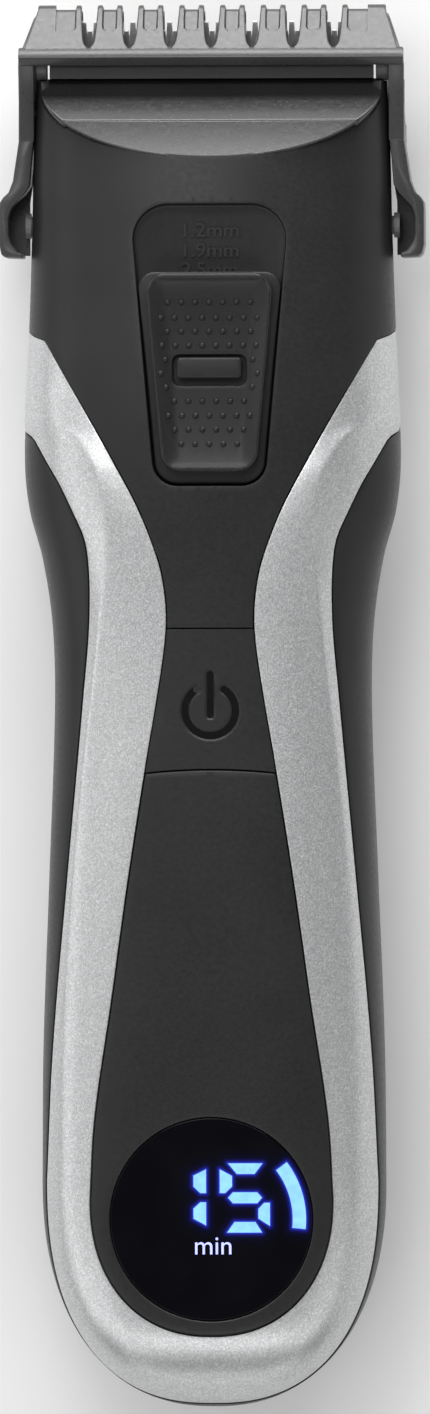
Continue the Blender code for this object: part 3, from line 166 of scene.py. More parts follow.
# How far the frame's crease stands proud, along Y
CREASE_RISE_Y = (0, 34, 60, 85, 100, 112, 120, 128, FRAME_TIP - SEAM)
CREASE_RISE = (0, 0.1, 0.25, 0.45, 0.65, 0.7, 0.55, 0.2, 0)

# Display: arc as (radius, width, first and last degree), and the reach of the light round a segment
DISPLAY_ARC = (10.15, 1.65, -6.0, 37.0)
MARK_LIFT = 0.03
ARC_LIFT = 0.09
GLOW_REACH = 0.42
HALO = (
    (0.0, (0, 0, 0)),
    (0.25, (0.001, 0.001, 0.02)),
    (0.6, (0.008, 0.01, 0.2)),
    (1.0, (0.05, 0.08, 0.9)),
)
UNIT_PLACE = (0.25, DISPLAY_Y - 4.35, 12.98)
UNIT_SIZE = 3.3

# Comb lengths raised on the recess's floor, as (words, y)
SCALE = (("1.2mm", 146.0), ("1.9mm", 143.5), ("2.5mm", 141.1))
SCALE_SIZE = 2.45
SCALE_WIDTH = 6.9

# Nubs on the thumb pad, as (y above the recess's lower end, number in the row, half spread)
NUB_ROWS = (
    (22.9, 7, 5.15), (20.95, 8, 6.03), (19.25, 7, 5.2), (17.5, 8, 5.9),
    (15.75, 2, 5.5), (14.0, 2, 6.05), (12.3, 2, 5.4), (10.55, 6, 4.35),
    (8.75, 7, 5.1), (7.0, 6, 4.3), (5.2, 5, 3.5),
)

# Comb
COMB_BROW = (LENGTH - 6.75, 4.75)
COMB_NOSE = (LENGTH - 0.57, -0.62)
COMB_SPAN = math.hypot(COMB_NOSE[0] - COMB_BROW[0], COMB_NOSE[1] - COMB_BROW[1])
COMB_BRIDGE = 1.75
COMB_GROOVE = 4.5
COMB_GROOVE_HALF = 0.95
COMB_PITCH = 5.1
COMB_FINGERS = 8
COMB_END_STEP = 19.5
NOSE_RADIUS = 1.5
COMB_END_SLANT = 0.36
COMB_WALL_IN = HALF - 1.35
COMB_WALL_OUT = HALF + 0.65
COMB_HEEL = REAR_END + 1.5
COMB_INNER = 20.55
EAR_DEPTH = (-6.5, 2.5)
WEB_DEPTH = (-6.4, -5.2)
# Half width of a finger at its end, what it gains at its root, and the fillet beside the root
FINGER_HALF = (1.56, 0.42, 0.55, 0.6)
FINGER_THICK = 1.4
FINGER_EDGE = 0.22
GROOVE_DEPTH = 0.55
END_FINGER_HALF = 23.75
RIB_OFFSET = 1.15
# Profiles in (y, z) that run across X
RIB_PROFILE = (
    (LENGTH - 0.9, -2.6), (LENGTH - 0.75, -3.15), (LENGTH - 1.0, -3.5), (COMB_HEEL, -10.2),
    (COMB_HEEL, -8.3), (LENGTH - 1.85, -3.2), (LENGTH - 1.5, -2.7),
)
CHEEK_PROFILE = (
    (LENGTH - 1.6, -0.5), (LENGTH - 6.7, 3.9), (LENGTH - 7.7, 3.4), (REAR_END + 6.0, 2.6),
    (REAR_END + 1.0, 2.6), (REAR_END + 1.0, -9.8), (REAR_END + 3.0, -9.6), (LENGTH - 1.05, -3.2),
)
FLANGE_PROFILE = (
    (REAR_END + 9.0, -8.0), (REAR_END + 9.0, -9.3), (REAR_END + 1.0, -9.8), (REAR_END + 1.0, -8.4),
)
CORNER_PROFILE = (
    (FRONT_END + 0.12, 1.6), (FRONT_END + 0.12, -1.5), (FRONT_END + 2.6, -1.5), (FRONT_END + 2.6, 2.3),
    (FRONT_END + 1.9, 2.3),
)
HEEL_PROFILE = (
    (COMB_HEEL - 1.0, -10.4), (COMB_HEEL + 2.0, -10.4),
    (COMB_HEEL + 2.0, -8.1), (COMB_HEEL - 1.0, -8.1),
)

# Camera: what it takes in along Y and the place that it looks at (mm), distance (m), turn (degrees)
VIEW_HEIGHT = 176.75
VIEW_CENTRE = (0.1875, 87.375)
VIEW_DISTANCE = 3.0
VIEW_YAW = 2.0
VIEW_ROLL = -0.15
SENSOR = 24.0

# Lamps as (name, place, width, height, power), in metres and watts, all facing the middle
LAMPS = (
    ("high_left", (-0.55, 0.3, 0.8), 0.6, 0.6, 0.95),
    ("left_butt", (-0.5, -0.4, 0.6), 0.6, 0.4, 1.2),
    ("right_butt", (0.5, -0.4, 0.6), 0.5, 0.4, 0.9),
    ("near_head", (-0.05, 0.16, 0.38), 0.12, 0.12, 0.25),
    ("head_low", (0.0, 0.75, 0.1), 0.9, 0.15, 7.0),
    ("head_mid", (0.0, 0.6, 0.55), 0.9, 0.22, 4.2),
    ("side_left", (-0.7, 0.0, 0.3), 0.9, 0.25, 1.2),
    ("side_right", (0.7, 0.0, 0.16), 0.9, 0.3, 0.6),
    ("over_butt", (0.0, -0.38, 0.7), 0.5, 0.2, 0.9),
    ("butt_low", (0.0, -0.75, 0.15), 0.9, 0.28, 0.8),
)
SKY = 0.2

# What the pieces and the CAD nodes wear
SCOOP_BLACK = (0.016, 0.016, 0.0163)
WEARING = {
    "black": "blade_frame tact_switch controller_chip charge_socket_tongue",
    "grey": "slide_carriage motor_mount battery_cradle",
    "white": "display_light_box blade_carrier motor_end_bell eccentric_cam switch_plunger",
    "rubber": "display_gasket shaft_seal",
    "blade": "fixed_blade moving_blade",
    "steel": """
        carriage_screw_lower carriage_screw_upper detent_spring blade_screw_left
        blade_screw_right motor_can motor_screw_left motor_screw_right motor_shaft
        housing_screw_handle_left housing_screw_handle_right housing_screw_head_left
        housing_screw_head_right
    """,
    "nickel": "battery_tab_negative battery_tab_positive charge_socket_shell",
    "board": "display_board main_board charge_board",
    "wrap": "battery_cell",
    "ribbon": "display_ribbon",
    "red": "battery_lead_red motor_lead_red",
    "lead_black": "battery_lead_black motor_lead_black",
}


def world(points):
    """Trimmer millimetres to the frame's metres."""
    points = np.asarray(points, float).reshape(-1, 3)
    return (points + (0.0, BUTT, REST_DEPTH)) * MM


# The body's skin


def smooth(table, at, column=1):
    """Smooth curve through a table's (place, value) rows, held level past its ends."""
    places, values = table[:, 0], table[:, column]
    at = np.clip(np.asarray(at, float), places[0], places[-1])
    slopes = np.empty(len(places))
    slopes[1:-1] = (values[2:] - values[:-2]) / (places[2:] - places[:-2])
    slopes[0] = (values[1] - values[0]) / (places[1] - places[0])
    slopes[-1] = (values[-1] - values[-2]) / (places[-1] - places[-2])
    index = np.clip(np.searchsorted(places, at, side="right") - 1, 0, len(places) - 2)
    span = places[index + 1] - places[index]
    t = (at - places[index]) / span
    return (
        (2 * t**3 - 3 * t**2 + 1) * values[index]
        + (t**3 - 2 * t**2 + t) * span * slopes[index]
        + (3 * t**2 - 2 * t**3) * values[index + 1]
        + (t**3 - t**2) * span * slopes[index + 1]
    )


def rounding(y, length, power):
    reach = np.clip((length - y) / length, 0.0, 1.0)
    return (1 - reach**power) ** (1 / power)


def section(y):
    """Half width, front height, rear depth and front power at y."""
    y = np.asarray(y, float)
    half = (HALF - smooth(SECTIONS, y, 1)) * rounding(y, BUTT_LENGTH, 2.25)
    front = smooth(SECTIONS, y, 2) * rounding(y, 12.0, 2.5)
    rear = smooth(SECTIONS, y, 3) * rounding(y, 22.0, 2.3)
    return half, front, rear, smooth(SECTIONS, y, 4)


def half_width(y):
    return section(y)[0]


def skin(y, angle):
    """Points of the outer surface; the angle runs from the front centre to the back."""
    y, angle = np.broadcast_arrays(np.asarray(y, float), np.asarray(angle, float))
    half, front, rear, power = section(y)
    across, up = np.sin(angle), np.cos(angle)
    depth = np.where(up >= 0, front, rear)
    n = np.where(up >= 0, power, REAR_POWER)
    half = np.maximum(half, 1e-6)
    depth = np.maximum(depth, 1e-6)
    reach = ((np.abs(across) / half) ** n + (np.abs(up) / depth) ** n) ** (-1 / n)
    return np.stack([reach * across, y, np.maximum(reach * up, -REST_DEPTH)], axis=-1)


def skin_normal(y, angle):
    step = 1e-3
    along = skin(y + step, angle) - skin(y - step, angle)
    around = skin(y, angle + step) - skin(y, angle - step)
    normal = np.cross(around, along)
    return normal / np.maximum(np.linalg.norm(normal, axis=-1, keepdims=True), 1e-12)


def front_angle(x, y):
    """Angle at which the front surface has this x."""
    half, front, _, power = section(y)
    share = np.clip(np.abs(x) / np.maximum(half, 1e-6), 0.0, 1.0)
    z = front * (1 - share**power) ** (1 / power)
    return np.arctan2(x, z)


def front_height(x, y):
    half, front, _, power = section(y)
    share = np.clip(np.abs(x) / np.maximum(half, 1e-6), 0.0, 1.0)
    return front * (1 - share**power) ** (1 / power)


def parting_angle(y):
    """Angle at which the side reaches the parting line."""
    half, _, rear, _ = section(y)
    drop = np.clip(-PARTING / rear, 0.0, 1.0)
    x = half * (1 - drop**REAR_POWER) ** (1 / REAR_POWER)
    return np.arctan2(x, PARTING)


# Meshes


def mesh_object(name, vertices, faces, finish, sharp=35.0):
    """A smooth-shaded piece from trimmer millimetres."""
    mesh = bpy.data.meshes.new(name)
    mesh.from_pydata(world(vertices).tolist(), [], faces)
    work = bmesh.new()
    work.from_mesh(mesh)
    bmesh.ops.remove_doubles(work, verts=work.verts, dist=2e-7)
    bmesh.ops.recalc_face_normals(work, faces=work.faces)
    work.to_mesh(mesh)
    work.free()
    mesh.shade_smooth()
    mesh.set_sharp_from_angle(angle=math.radians(sharp))
    mesh.materials.append(finish)
    piece = bpy.data.objects.new(name, mesh)
    bpy.context.scene.collection.objects.link(piece)
    return piece


def grid_faces(rows, columns, closed=False):
    faces = []
    for row in range(rows - 1):
        for column in range(columns if closed else columns - 1):
            after = (column + 1) % columns
            low, high = row * columns, (row + 1) * columns
            faces.append((low + column, low + after, high + after, high + column))
    return faces


def rings_piece(name, rings, finish, cap_first=True, sharp=35.0):
    """A closed body through equal rings of points."""
    count = len(rings[0])
    vertices = np.concatenate([np.asarray(ring, float) for ring in rings])
    faces = grid_faces(len(rings), count, closed=True)
    if cap_first:
        faces.append(tuple(range(count))[::-1])
    faces.append(tuple(range((len(rings) - 1) * count, len(rings) * count)))
    return mesh_object(name, vertices, faces, finish, sharp)


def face_up(piece):
    """Turns an open sheet so that its faces look out of the front or away from the axis."""
    work = bmesh.new()
    work.from_mesh(piece.data)
    work.normal_update()
    centre_z = REST_DEPTH * MM
    outward = 0.0
    for face in work.faces:
        middle = face.calc_center_median()
        out = Vector((middle.x, 0.0, middle.z - centre_z))
        outward += face.normal.dot(out) * face.calc_area()
    if outward < 0:
        bmesh.ops.reverse_faces(work, faces=work.faces)
    work.to_mesh(piece.data)
    work.free()


def shell(piece, wall=WALL, edge=EDGE, segments=3):
    """Gives an open sheet its wall and a rounded edge."""
    face_up(piece)
    solid = piece.modifiers.new("wall", "SOLIDIFY")
    solid.thickness = wall * MM
    solid.offset = -1.0
    round_edges(piece, edge, segments)
    return piece


def round_edges(piece, width, segments=2, angle=40.0):
    edge = piece.modifiers.new("edge", "BEVEL")
    edge.width = width * MM
    edge.segments = segments
    edge.limit_method = "ANGLE"
    edge.angle_limit = math.radians(angle)
    edge.harden_normals = False
    return piece


def skin_sheet(name, y, angle, finish, lift=None):
    """A sheet over a grid of (y, angle) places on the skin, raised by `lift`."""
    y, angle = np.broadcast_arrays(y, angle)
    points = skin(y, angle)
    if lift is not None:
        points = points + skin_normal(y, angle) * lift[..., None]
    rows, columns = y.shape
    return mesh_object(name, points.reshape(-1, 3), grid_faces(rows, columns), finish)


def dense(outline, spacing):
    """Adds points along a closed outline so that none are further apart than `spacing`."""
    outline = np.asarray(outline, float)
    result = []
    for here, after in zip(outline, np.roll(outline, -1, axis=0)):
        steps = max(int(np.ceil(np.linalg.norm(after - here) / spacing)), 1)
        for step in range(steps):
            result.append(here + (after - here) * step / steps)
    return np.array(result)


def rounded(corners, radii, steps=8):
    """A closed outline through corners, each with its own fillet."""
    outline = []
    count = len(corners)
    for index, corner in enumerate(corners):
        here = Vector(corner)
        before = (Vector(corners[index - 1]) - here).normalized()
        after = (Vector(corners[(index + 1) % count]) - here).normalized()
        half_angle = before.angle(after) / 2
        radius = radii[index]
        centre = here + (before + after).normalized() * (radius / math.sin(half_angle))
        first = here + before * (radius / math.tan(half_angle)) - centre
        last = here + after * (radius / math.tan(half_angle)) - centre
        for step in range(steps + 1):
            turned = first.lerp(last, step / steps).normalized() * radius
            outline.append(tuple(centre + turned))
    return np.array(outline)


def inside(points, outline):
    """Which points lie inside a closed outline, by the even-odd rule."""
    x, y = points[:, 0][:, None], points[:, 1][:, None]
    x0, y0 = outline[:, 0], outline[:, 1]
    x1, y1 = np.roll(x0, -1), np.roll(y0, -1)
    rise = np.where(y1 == y0, 1e-12, y1 - y0)
    crosses = ((y0 > y) != (y1 > y)) & (x < (x1 - x0) * (y - y0) / rise + x0)
    return crosses.sum(axis=1) % 2 == 1


def gap_to(points, outline):
    """Distance from each point to the nearest point of a dense outline."""
    nearest = np.full(len(points), np.inf)
    for block in np.array_split(np.arange(len(points)), max(len(points) // 500, 1)):
        offsets = points[block][:, None, :] - outline[None, :, :]
        nearest[block] = np.sqrt((offsets**2).sum(axis=2).min(axis=1))
    return nearest


def triangulated(outline, holes, spacing, extra=()):
    """Even triangles inside a flat outline and outside its holes."""
    low, high = outline.min(axis=0), outline.max(axis=0)
    across = np.arange(low[0], high[0], spacing)
    along = np.arange(low[1], high[1], spacing * 0.866)
    grid = np.array([(x + spacing / 2 * (row % 2), y) for row, y in enumerate(along) for x in across])
    keep = inside(grid, outline) & (gap_to(grid, outline) > spacing * 0.55)
    for hole in holes:
        keep &= ~inside(grid, hole) & (gap_to(grid, hole) > spacing * 0.55)
    for ring in extra:
        keep &= gap_to(grid, ring) > spacing * 0.5
    loops = [outline, *holes]
    points = np.concatenate([*loops, *extra, grid[keep]])
    edges = []
    start = 0
    for loop in loops:
        count = len(loop)
        edges += [(start + index, start + (index + 1) % count) for index in range(count)]
        start += count
    result = delaunay_2d_cdt([Vector(point) for point in points], edges, [], 0, 1e-6)
    points = np.array([tuple(point) for point in result[0]])
    faces = np.array(result[2])
    middles = points[faces].mean(axis=1)
    wanted = inside(middles, outline)
    for hole in holes:
        wanted &= ~inside(middles, hole)
    return points, faces[wanted].tolist()


def skin_patch(name, edge_y, edge_angle, hole_xy, finish, spacing=0.75):
    """A skin sheet inside a closed (y, angle) edge, less a hole outlined as seen from the front."""
    unroll = 17.0
    edge = np.stack([edge_angle * unroll, edge_y], axis=1)
    hole = np.stack([front_angle(hole_xy[:, 0], hole_xy[:, 1]) * unroll, hole_xy[:, 1]], axis=1)
    places, faces = triangulated(edge, [hole], spacing)
    points = skin(places[:, 1], places[:, 0] / unroll)
    return mesh_object(name, points, faces, finish)


# Edges of the silver frame, as (x, y) on the right half


def u_curve(centre, half, drop, power, count):
    turn = np.linspace(0.0, np.pi / 2, count)
    x = half * np.sin(turn) ** (2 / power)
    y = centre - drop * np.abs(np.cos(turn)) ** (2 / power)
    return x, y


def inner_x(y, offset=0.0):
    return smooth(FRAME_INNER, y) + offset


def outer_x(y, offset=0.0):
    return half_width(y) - np.maximum(smooth(SIDE_PANEL, y), 0.0) + offset


def inner_angle(y, offset):
    """Angle of the frame's inner edge; past the last point it turns onto the side."""
    x = inner_x(y, offset)
    angle = front_angle(np.minimum(x, half_width(y) * 0.9995), y)
    last = FRAME_INNER[-1, 0]
    turn = np.clip((y - last) / (FRAME_TIP - offset - last), 0.0, 1.0)
    side = parting_angle(y) - front_angle(inner_x(last, offset) * np.ones_like(y), y)
    wrapped = front_angle(inner_x(last, offset) * np.ones_like(y), y) + side * turn**0.8
    return np.where(y > last, wrapped, angle)


def outer_angle(y, offset):
    """Angle of the frame's outer edge, which ends on the parting line."""
    x = outer_x(y, offset)
    angle = front_angle(np.minimum(x, half_width(y)), y)
    blend = np.clip((y - SIDE_PANEL_END + 2.0) / 2.2, 0.0, 1.0)
    return angle * (1 - blend) + parting_angle(y) * blend


# Materials


class Finish:
    """A Principled material with helpers for its node tree."""

    def __init__(self, name, roughness, metallic=0.0, **sockets):
        self.material = bpy.data.materials.new(name)
        self.material.use_nodes = True
        self.nodes = self.material.node_tree.nodes
        self.links = self.material.node_tree.links
        self.shader = self.nodes["Principled BSDF"]
        self.shader.inputs["Roughness"].default_value = roughness
        self.shader.inputs["Metallic"].default_value = metallic
        for socket, value in sockets.items():
            self.shader.inputs[socket.replace("_", " ")].default_value = value
        self.place = self.nodes.new("ShaderNodeNewGeometry").outputs["Position"]

    def noise(self, size, detail=2.0, stretch=(1, 1, 1)):
        """Noise whose features are about `size` millimetres."""
        scale = self.nodes.new("ShaderNodeMapping")
        scale.inputs["Scale"].default_value = stretch
        self.links.new(self.place, scale.inputs["Vector"])
        noise = self.nodes.new("ShaderNodeTexNoise")
        noise.inputs["Scale"].default_value = 1 / (size * MM)
        noise.inputs["Detail"].default_value = detail
        self.links.new(scale.outputs["Vector"], noise.inputs["Vector"])
        return noise.outputs["Fac"]

    def cells(self, size):
        cells = self.nodes.new("ShaderNodeTexVoronoi")
        cells.inputs["Scale"].default_value = 1 / (size * MM)
        self.links.new(self.place, cells.inputs["Vector"])
        return cells.outputs["Color"]

    def ramp(self, value, stops):
        ramp = self.nodes.new("ShaderNodeValToRGB")
        elements = ramp.color_ramp.elements
        while len(elements) < len(stops):
            elements.new(0.5)
        for element, (at, colour) in zip(elements, stops):
            element.position = at
            element.color = (*colour, 1.0)
        self.links.new(value, ramp.inputs["Fac"])
        return ramp.outputs["Color"]

    def spread(self, value, low, high):
        """Maps 0.3..0.7 of a noise onto low..high."""
        mapped = self.nodes.new("ShaderNodeMapRange")
        mapped.inputs["From Min"].default_value = 0.3
        mapped.inputs["From Max"].default_value = 0.7
        mapped.inputs["To Min"].default_value = low
        mapped.inputs["To Max"].default_value = high
        self.links.new(value, mapped.inputs["Value"])
        return mapped.outputs["Result"]

    def bump(self, *layers):
        """Stacks (height, depth in millimetres) layers into the normal."""
        normal = None
        for height, depth in layers:
            bump = self.nodes.new("ShaderNodeBump")
            bump.inputs["Distance"].default_value = depth * MM
            bump.inputs["Strength"].default_value = 1.0
            self.links.new(height, bump.inputs["Height"])
            if normal:
                self.links.new(normal, bump.inputs["Normal"])
            normal = bump.outputs["Normal"]
        self.links.new(normal, self.shader.inputs["Normal"])

    def connect(self, output, socket):
        self.links.new(output, self.shader.inputs[socket])
        return self


def moulded_plastic(name, colour, roughness, grain=0.18, depth=0.006, spread=0.06, specular=0.4):
    """Satin moulded plastic: spark-eroded grain, faint mottle and uneven gloss."""
    finish = Finish(name, roughness, 0.0, Specular_IOR_Level=specular)
    soft = finish.noise(9.0, 3.0)
    low = tuple(value * 0.88 for value in colour)
    high = tuple(value * 1.12 for value in colour)
    finish.connect(finish.ramp(soft, [(0.3, low), (0.7, high)]), "Base Color")
    gloss = finish.spread(finish.noise(0.5, 3.0), roughness - spread, roughness + spread)
    finish.connect(gloss, "Roughness")
    finish.bump((finish.noise(grain, 2.0), depth), (finish.noise(grain * 6, 2.0), depth * 0.8))
    return finish.material


def metallic_paint(name):
    """Silver paint over plastic: flake sparkle under a satin coat."""
    finish = Finish(name, 0.36, 0.75, Coat_Weight=0.25, Coat_Roughness=0.3)
    flakes = finish.cells(0.13)
    grey = finish.nodes.new("ShaderNodeRGBToBW")
    finish.links.new(flakes, grey.inputs["Color"])
    tone = [(0.0, (0.36, 0.365, 0.37)), (0.55, (0.5, 0.505, 0.51)), (1.0, (0.7, 0.705, 0.71))]
    finish.connect(finish.ramp(grey.outputs["Val"], tone), "Base Color")
    finish.connect(finish.spread(finish.noise(0.22, 2.0), 0.32, 0.44), "Roughness")
    finish.bump((finish.noise(0.16, 2.0), 0.006), (finish.noise(2.5, 2.0), 0.004))
    return finish.material


def ground_steel(name, colour, roughness, stretch):
    """Steel with fine grinding lines along one axis."""
    finish = Finish(name, roughness, 1.0)
    lines = finish.noise(0.12, 3.0, stretch)
    low = tuple(value * 0.82 for value in colour)
    finish.connect(finish.ramp(lines, [(0.3, low), (0.7, colour)]), "Base Color")
    finish.connect(finish.spread(lines, roughness - 0.06, roughness + 0.08), "Roughness")
    finish.bump((lines, 0.004))
    return finish.material


def glossy(name, colour, roughness=0.05):
    """Smoked window over the display, with the light that spreads under it."""
    finish = Finish(name, roughness, 0.0, IOR=1.2)
    haze = finish.noise(6.0, 2.0)
    high = tuple(value * 1.3 + 0.0005 for value in colour)
    finish.connect(finish.ramp(haze, [(0.3, colour), (0.7, high)]), "Base Color")
    uneven = finish.spread(finish.noise(1.5, 2.0), roughness - 0.02, roughness + 0.02)
    finish.connect(uneven, "Roughness")
    near = finish.nodes.new("ShaderNodeAttribute")
    near.attribute_name = "glow"
    finish.connect(finish.ramp(near.outputs["Fac"], HALO), "Emission Color")
    finish.shader.inputs["Emission Strength"].default_value = 1.0
    return finish.material


def light_segment(name, colour, strength):
    """A lit display segment, a little uneven as light guides are."""
    finish = Finish(name, 0.2)
    finish.shader.inputs["Emission Strength"].default_value = strength
    bright = tuple(min(value * 1.15, 1.0) for value in colour)
    glow = finish.ramp(finish.noise(1.2, 1.0), [(0.35, colour), (0.65, bright)])
    finish.connect(glow, "Emission Color")
    finish.connect(glow, "Base Color")
    return finish.material


# Shells


def front_housing(finish, scoop_finish):
    """Skin sheet round the recess, from the button's seam to the scoop's edge."""
    low = BUTTON_HIGH + SEAM
    side_rows = np.linspace(low, FRAME_TIP - 0.05, 110)
    side = inner_angle(side_rows, -SEAM)
    parting_rows = np.linspace(FRAME_TIP + 0.25, FRONT_END, 60)
    parting = parting_angle(parting_rows) - 0.004
    scoop = np.linspace(0.0, np.pi / 2, 90)[1:]
    scoop_x = SCOOP_HALF * np.cos(scoop)
    scoop_y = FRONT_END - (FRONT_END - SCOOP_START) * np.sin(scoop)
    corner_angle = front_angle(SCOOP_HALF, FRONT_END)
    end = np.linspace(parting[-1], corner_angle, 14)[1:]
    base_x = np.linspace(0.0, inner_x(low, -SEAM), 12)[:-1]
    base_y = np.full(len(base_x), low)
    base = front_angle(base_x, base_y)
    end_y = np.full(len(end), FRONT_END)
    scoop_angle = front_angle(scoop_x, scoop_y)
    right_y = np.concatenate([base_y, side_rows, parting_rows, end_y, scoop_y])
    right_angle = np.concatenate([base, side, parting, end, scoop_angle])
    outer_y = np.concatenate([right_y, right_y[-2:0:-1]])
    outer_angle_values = np.concatenate([right_angle, -right_angle[-2:0:-1]])
    hole = recess_outline(0.0)
    sheet = skin_patch("front_housing_shell", outer_y, outer_angle_values, hole, finish)
    shell(sheet, WALL, HOUSING_EDGE)
    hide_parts("front_housing")
    tray = recess_tray(finish)
    return [sheet, tray, *scoop_ramp(scoop_finish)]


def recess_half(y):
    share = (y - RECESS_LOW) / (RECESS_HIGH - RECESS_LOW)
    return RECESS_LOW_HALF + (RECESS_TOP_HALF - RECESS_LOW_HALF) * share


def tapered_outline(low, high, inset, low_radius, high_radius):
    corners = [
        (-recess_half(low) + inset, low),
        (recess_half(low) - inset, low),
        (recess_half(high) - inset, high),
        (-recess_half(high) + inset, high),
    ]
    outline = rounded(corners, [low_radius, low_radius, high_radius, high_radius])
    return dense(outline, 0.8)


def recess_outline(inset):
    return tapered_outline(
        RECESS_LOW + inset, RECESS_HIGH - inset, inset, max(3.1 - inset, 0.3), max(4.4 - inset, 0.3)
    )


def recess_tray(finish):
    """Walls and floor of the slider recess."""
    fillet = 0.5
    rings = []
    outline = recess_outline(-0.02)
    top = front_height(outline[:, 0], outline[:, 1]) - 0.7
    rings.append(np.column_stack([outline, top]))
    for step in range(5):
        turn = math.pi / 2 * step / 4
        inset = fillet * (1 - math.cos(turn))
        height = RECESS_FLOOR + fillet * (1 - math.sin(turn))
        shrunk = shrink(outline, inset)
        rings.append(np.column_stack([shrunk, np.full(len(shrunk), height)]))
    tray = rings_piece("recess_tray", rings, finish, cap_first=False)
    face_up(tray)
    return tray


def shrink(outline, distance):
    """Moves a closed outline inwards along its corner normals."""
    outline = np.asarray(outline, float)
    before = outline - np.roll(outline, 1, axis=0)
    after = np.roll(outline, -1, axis=0) - outline
    tangent = before / np.linalg.norm(before, axis=1, keepdims=True)
    tangent = tangent + after / np.linalg.norm(after, axis=1, keepdims=True)
    tangent /= np.linalg.norm(tangent, axis=1, keepdims=True)
    normal = np.stack([-tangent[:, 1], tangent[:, 0]], axis=1)
    x, y = outline.T
    area = np.sum(x * np.roll(y, -1) - np.roll(x, -1) * y)
    return outline + normal * distance * np.sign(area)


def scoop_edge(x):
    """Where the scoop's rounded edge crosses the front at x, with a little tucked under the skin."""
    half = SCOOP_HALF + SCOOP_TUCK
    bulge = np.sqrt(np.clip(1 - (x / half) ** 2, 0.0, 1.0))
    return FRONT_END - (FRONT_END - SCOOP_START + SCOOP_TUCK) * bulge


def ramp_patch(name, half, low_y, high_y, fall, finish):
    """One face of the ramp: x out to half, y between two edges, falling by (at fold, slope, curve)."""
    x = np.sin(np.linspace(-np.pi / 2, np.pi / 2, 81)) * half
    share = np.linspace(0.0, 1.0, 30)[:, None]
    low, high = low_y(x)[None, :], high_y(x)[None, :]
    y = low + (high - low) * share
    x = np.broadcast_to(x, y.shape)
    run = y - (SCOOP_START + SCOOP_FOLD)
    at_fold, slope, curve = fall
    z = at_fold - slope * run - curve * run**2
    points = np.stack([x, y, z], axis=-1).reshape(-1, 3)
    patch = mesh_object(name, points, grid_faces(*y.shape), finish)
    face_up(patch)
    wall = patch.modifiers.new("wall", "SOLIDIFY")
    wall.thickness = WALL * MM
    wall.offset = -1.0
    return patch


def scoop_ramp(finish):
    """The ramp between the scoop's edge and the blades, folded where it dives under the comb."""
    fold_y = SCOOP_START + SCOOP_FOLD
    whole = SCOOP_HALF + SCOOP_TUCK
    reach = (FRONT_END - fold_y) / (FRONT_END - SCOOP_START + SCOOP_TUCK)
    fold_half = whole * math.sqrt(1 - reach**2)
    upper = ramp_patch(
        "scoop_ramp_upper",
        fold_half,
        scoop_edge,
        lambda x: np.full(len(x), fold_y),
        SCOOP_UPPER_FALL,
        finish,
    )
    lower = ramp_patch(
        "scoop_ramp_lower",
        whole,
        lambda x: np.maximum(scoop_edge(x), fold_y),
        lambda x: np.full(len(x), FRONT_END + 0.3),
        SCOOP_LOWER_FALL,
        finish,
    )
    return [upper, lower]


def rear_housing(finish):
    """The back shell, whose sides show outside the silver frame."""
    _, u_y = u_curve(BUTT_LENGTH, 1.0, OUTER_DROP + SEAM, OUTER_POWER, 60)
    lowest = u_y[0]
    below = lowest * np.linspace(0.0, 1.0, 8)[:-1] ** 2
    limb = np.linspace(BUTT_LENGTH, REAR_END, 150)[1:]
    rows = np.concatenate([below, u_y, limb])
    u_half = half_width(BUTT_LENGTH) - SIDE_PANEL[0, 1] + SEAM
    reach = np.clip((BUTT_LENGTH - u_y) / (OUTER_DROP + SEAM), 0.0, 1.0)
    u_x = u_half * (1 - reach**OUTER_POWER) ** (1 / OUTER_POWER)
    start = np.concatenate(
        [np.zeros(len(below)), front_angle(u_x, u_y), outer_angle(limb, SEAM) + 0.002]
    )
    share = np.linspace(0.0, 1.0, 121)[None, :]
    angle = start[:, None] + (2 * np.pi - 2 * start[:, None]) * share
    y = np.broadcast_to(rows[:, None], angle.shape)
    sheet = skin_sheet("rear_housing_shell", y, angle, finish)
    shell(sheet, REAR_WALL, REAR_EDGE, 2)
    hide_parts("rear_housing")
    return [sheet]


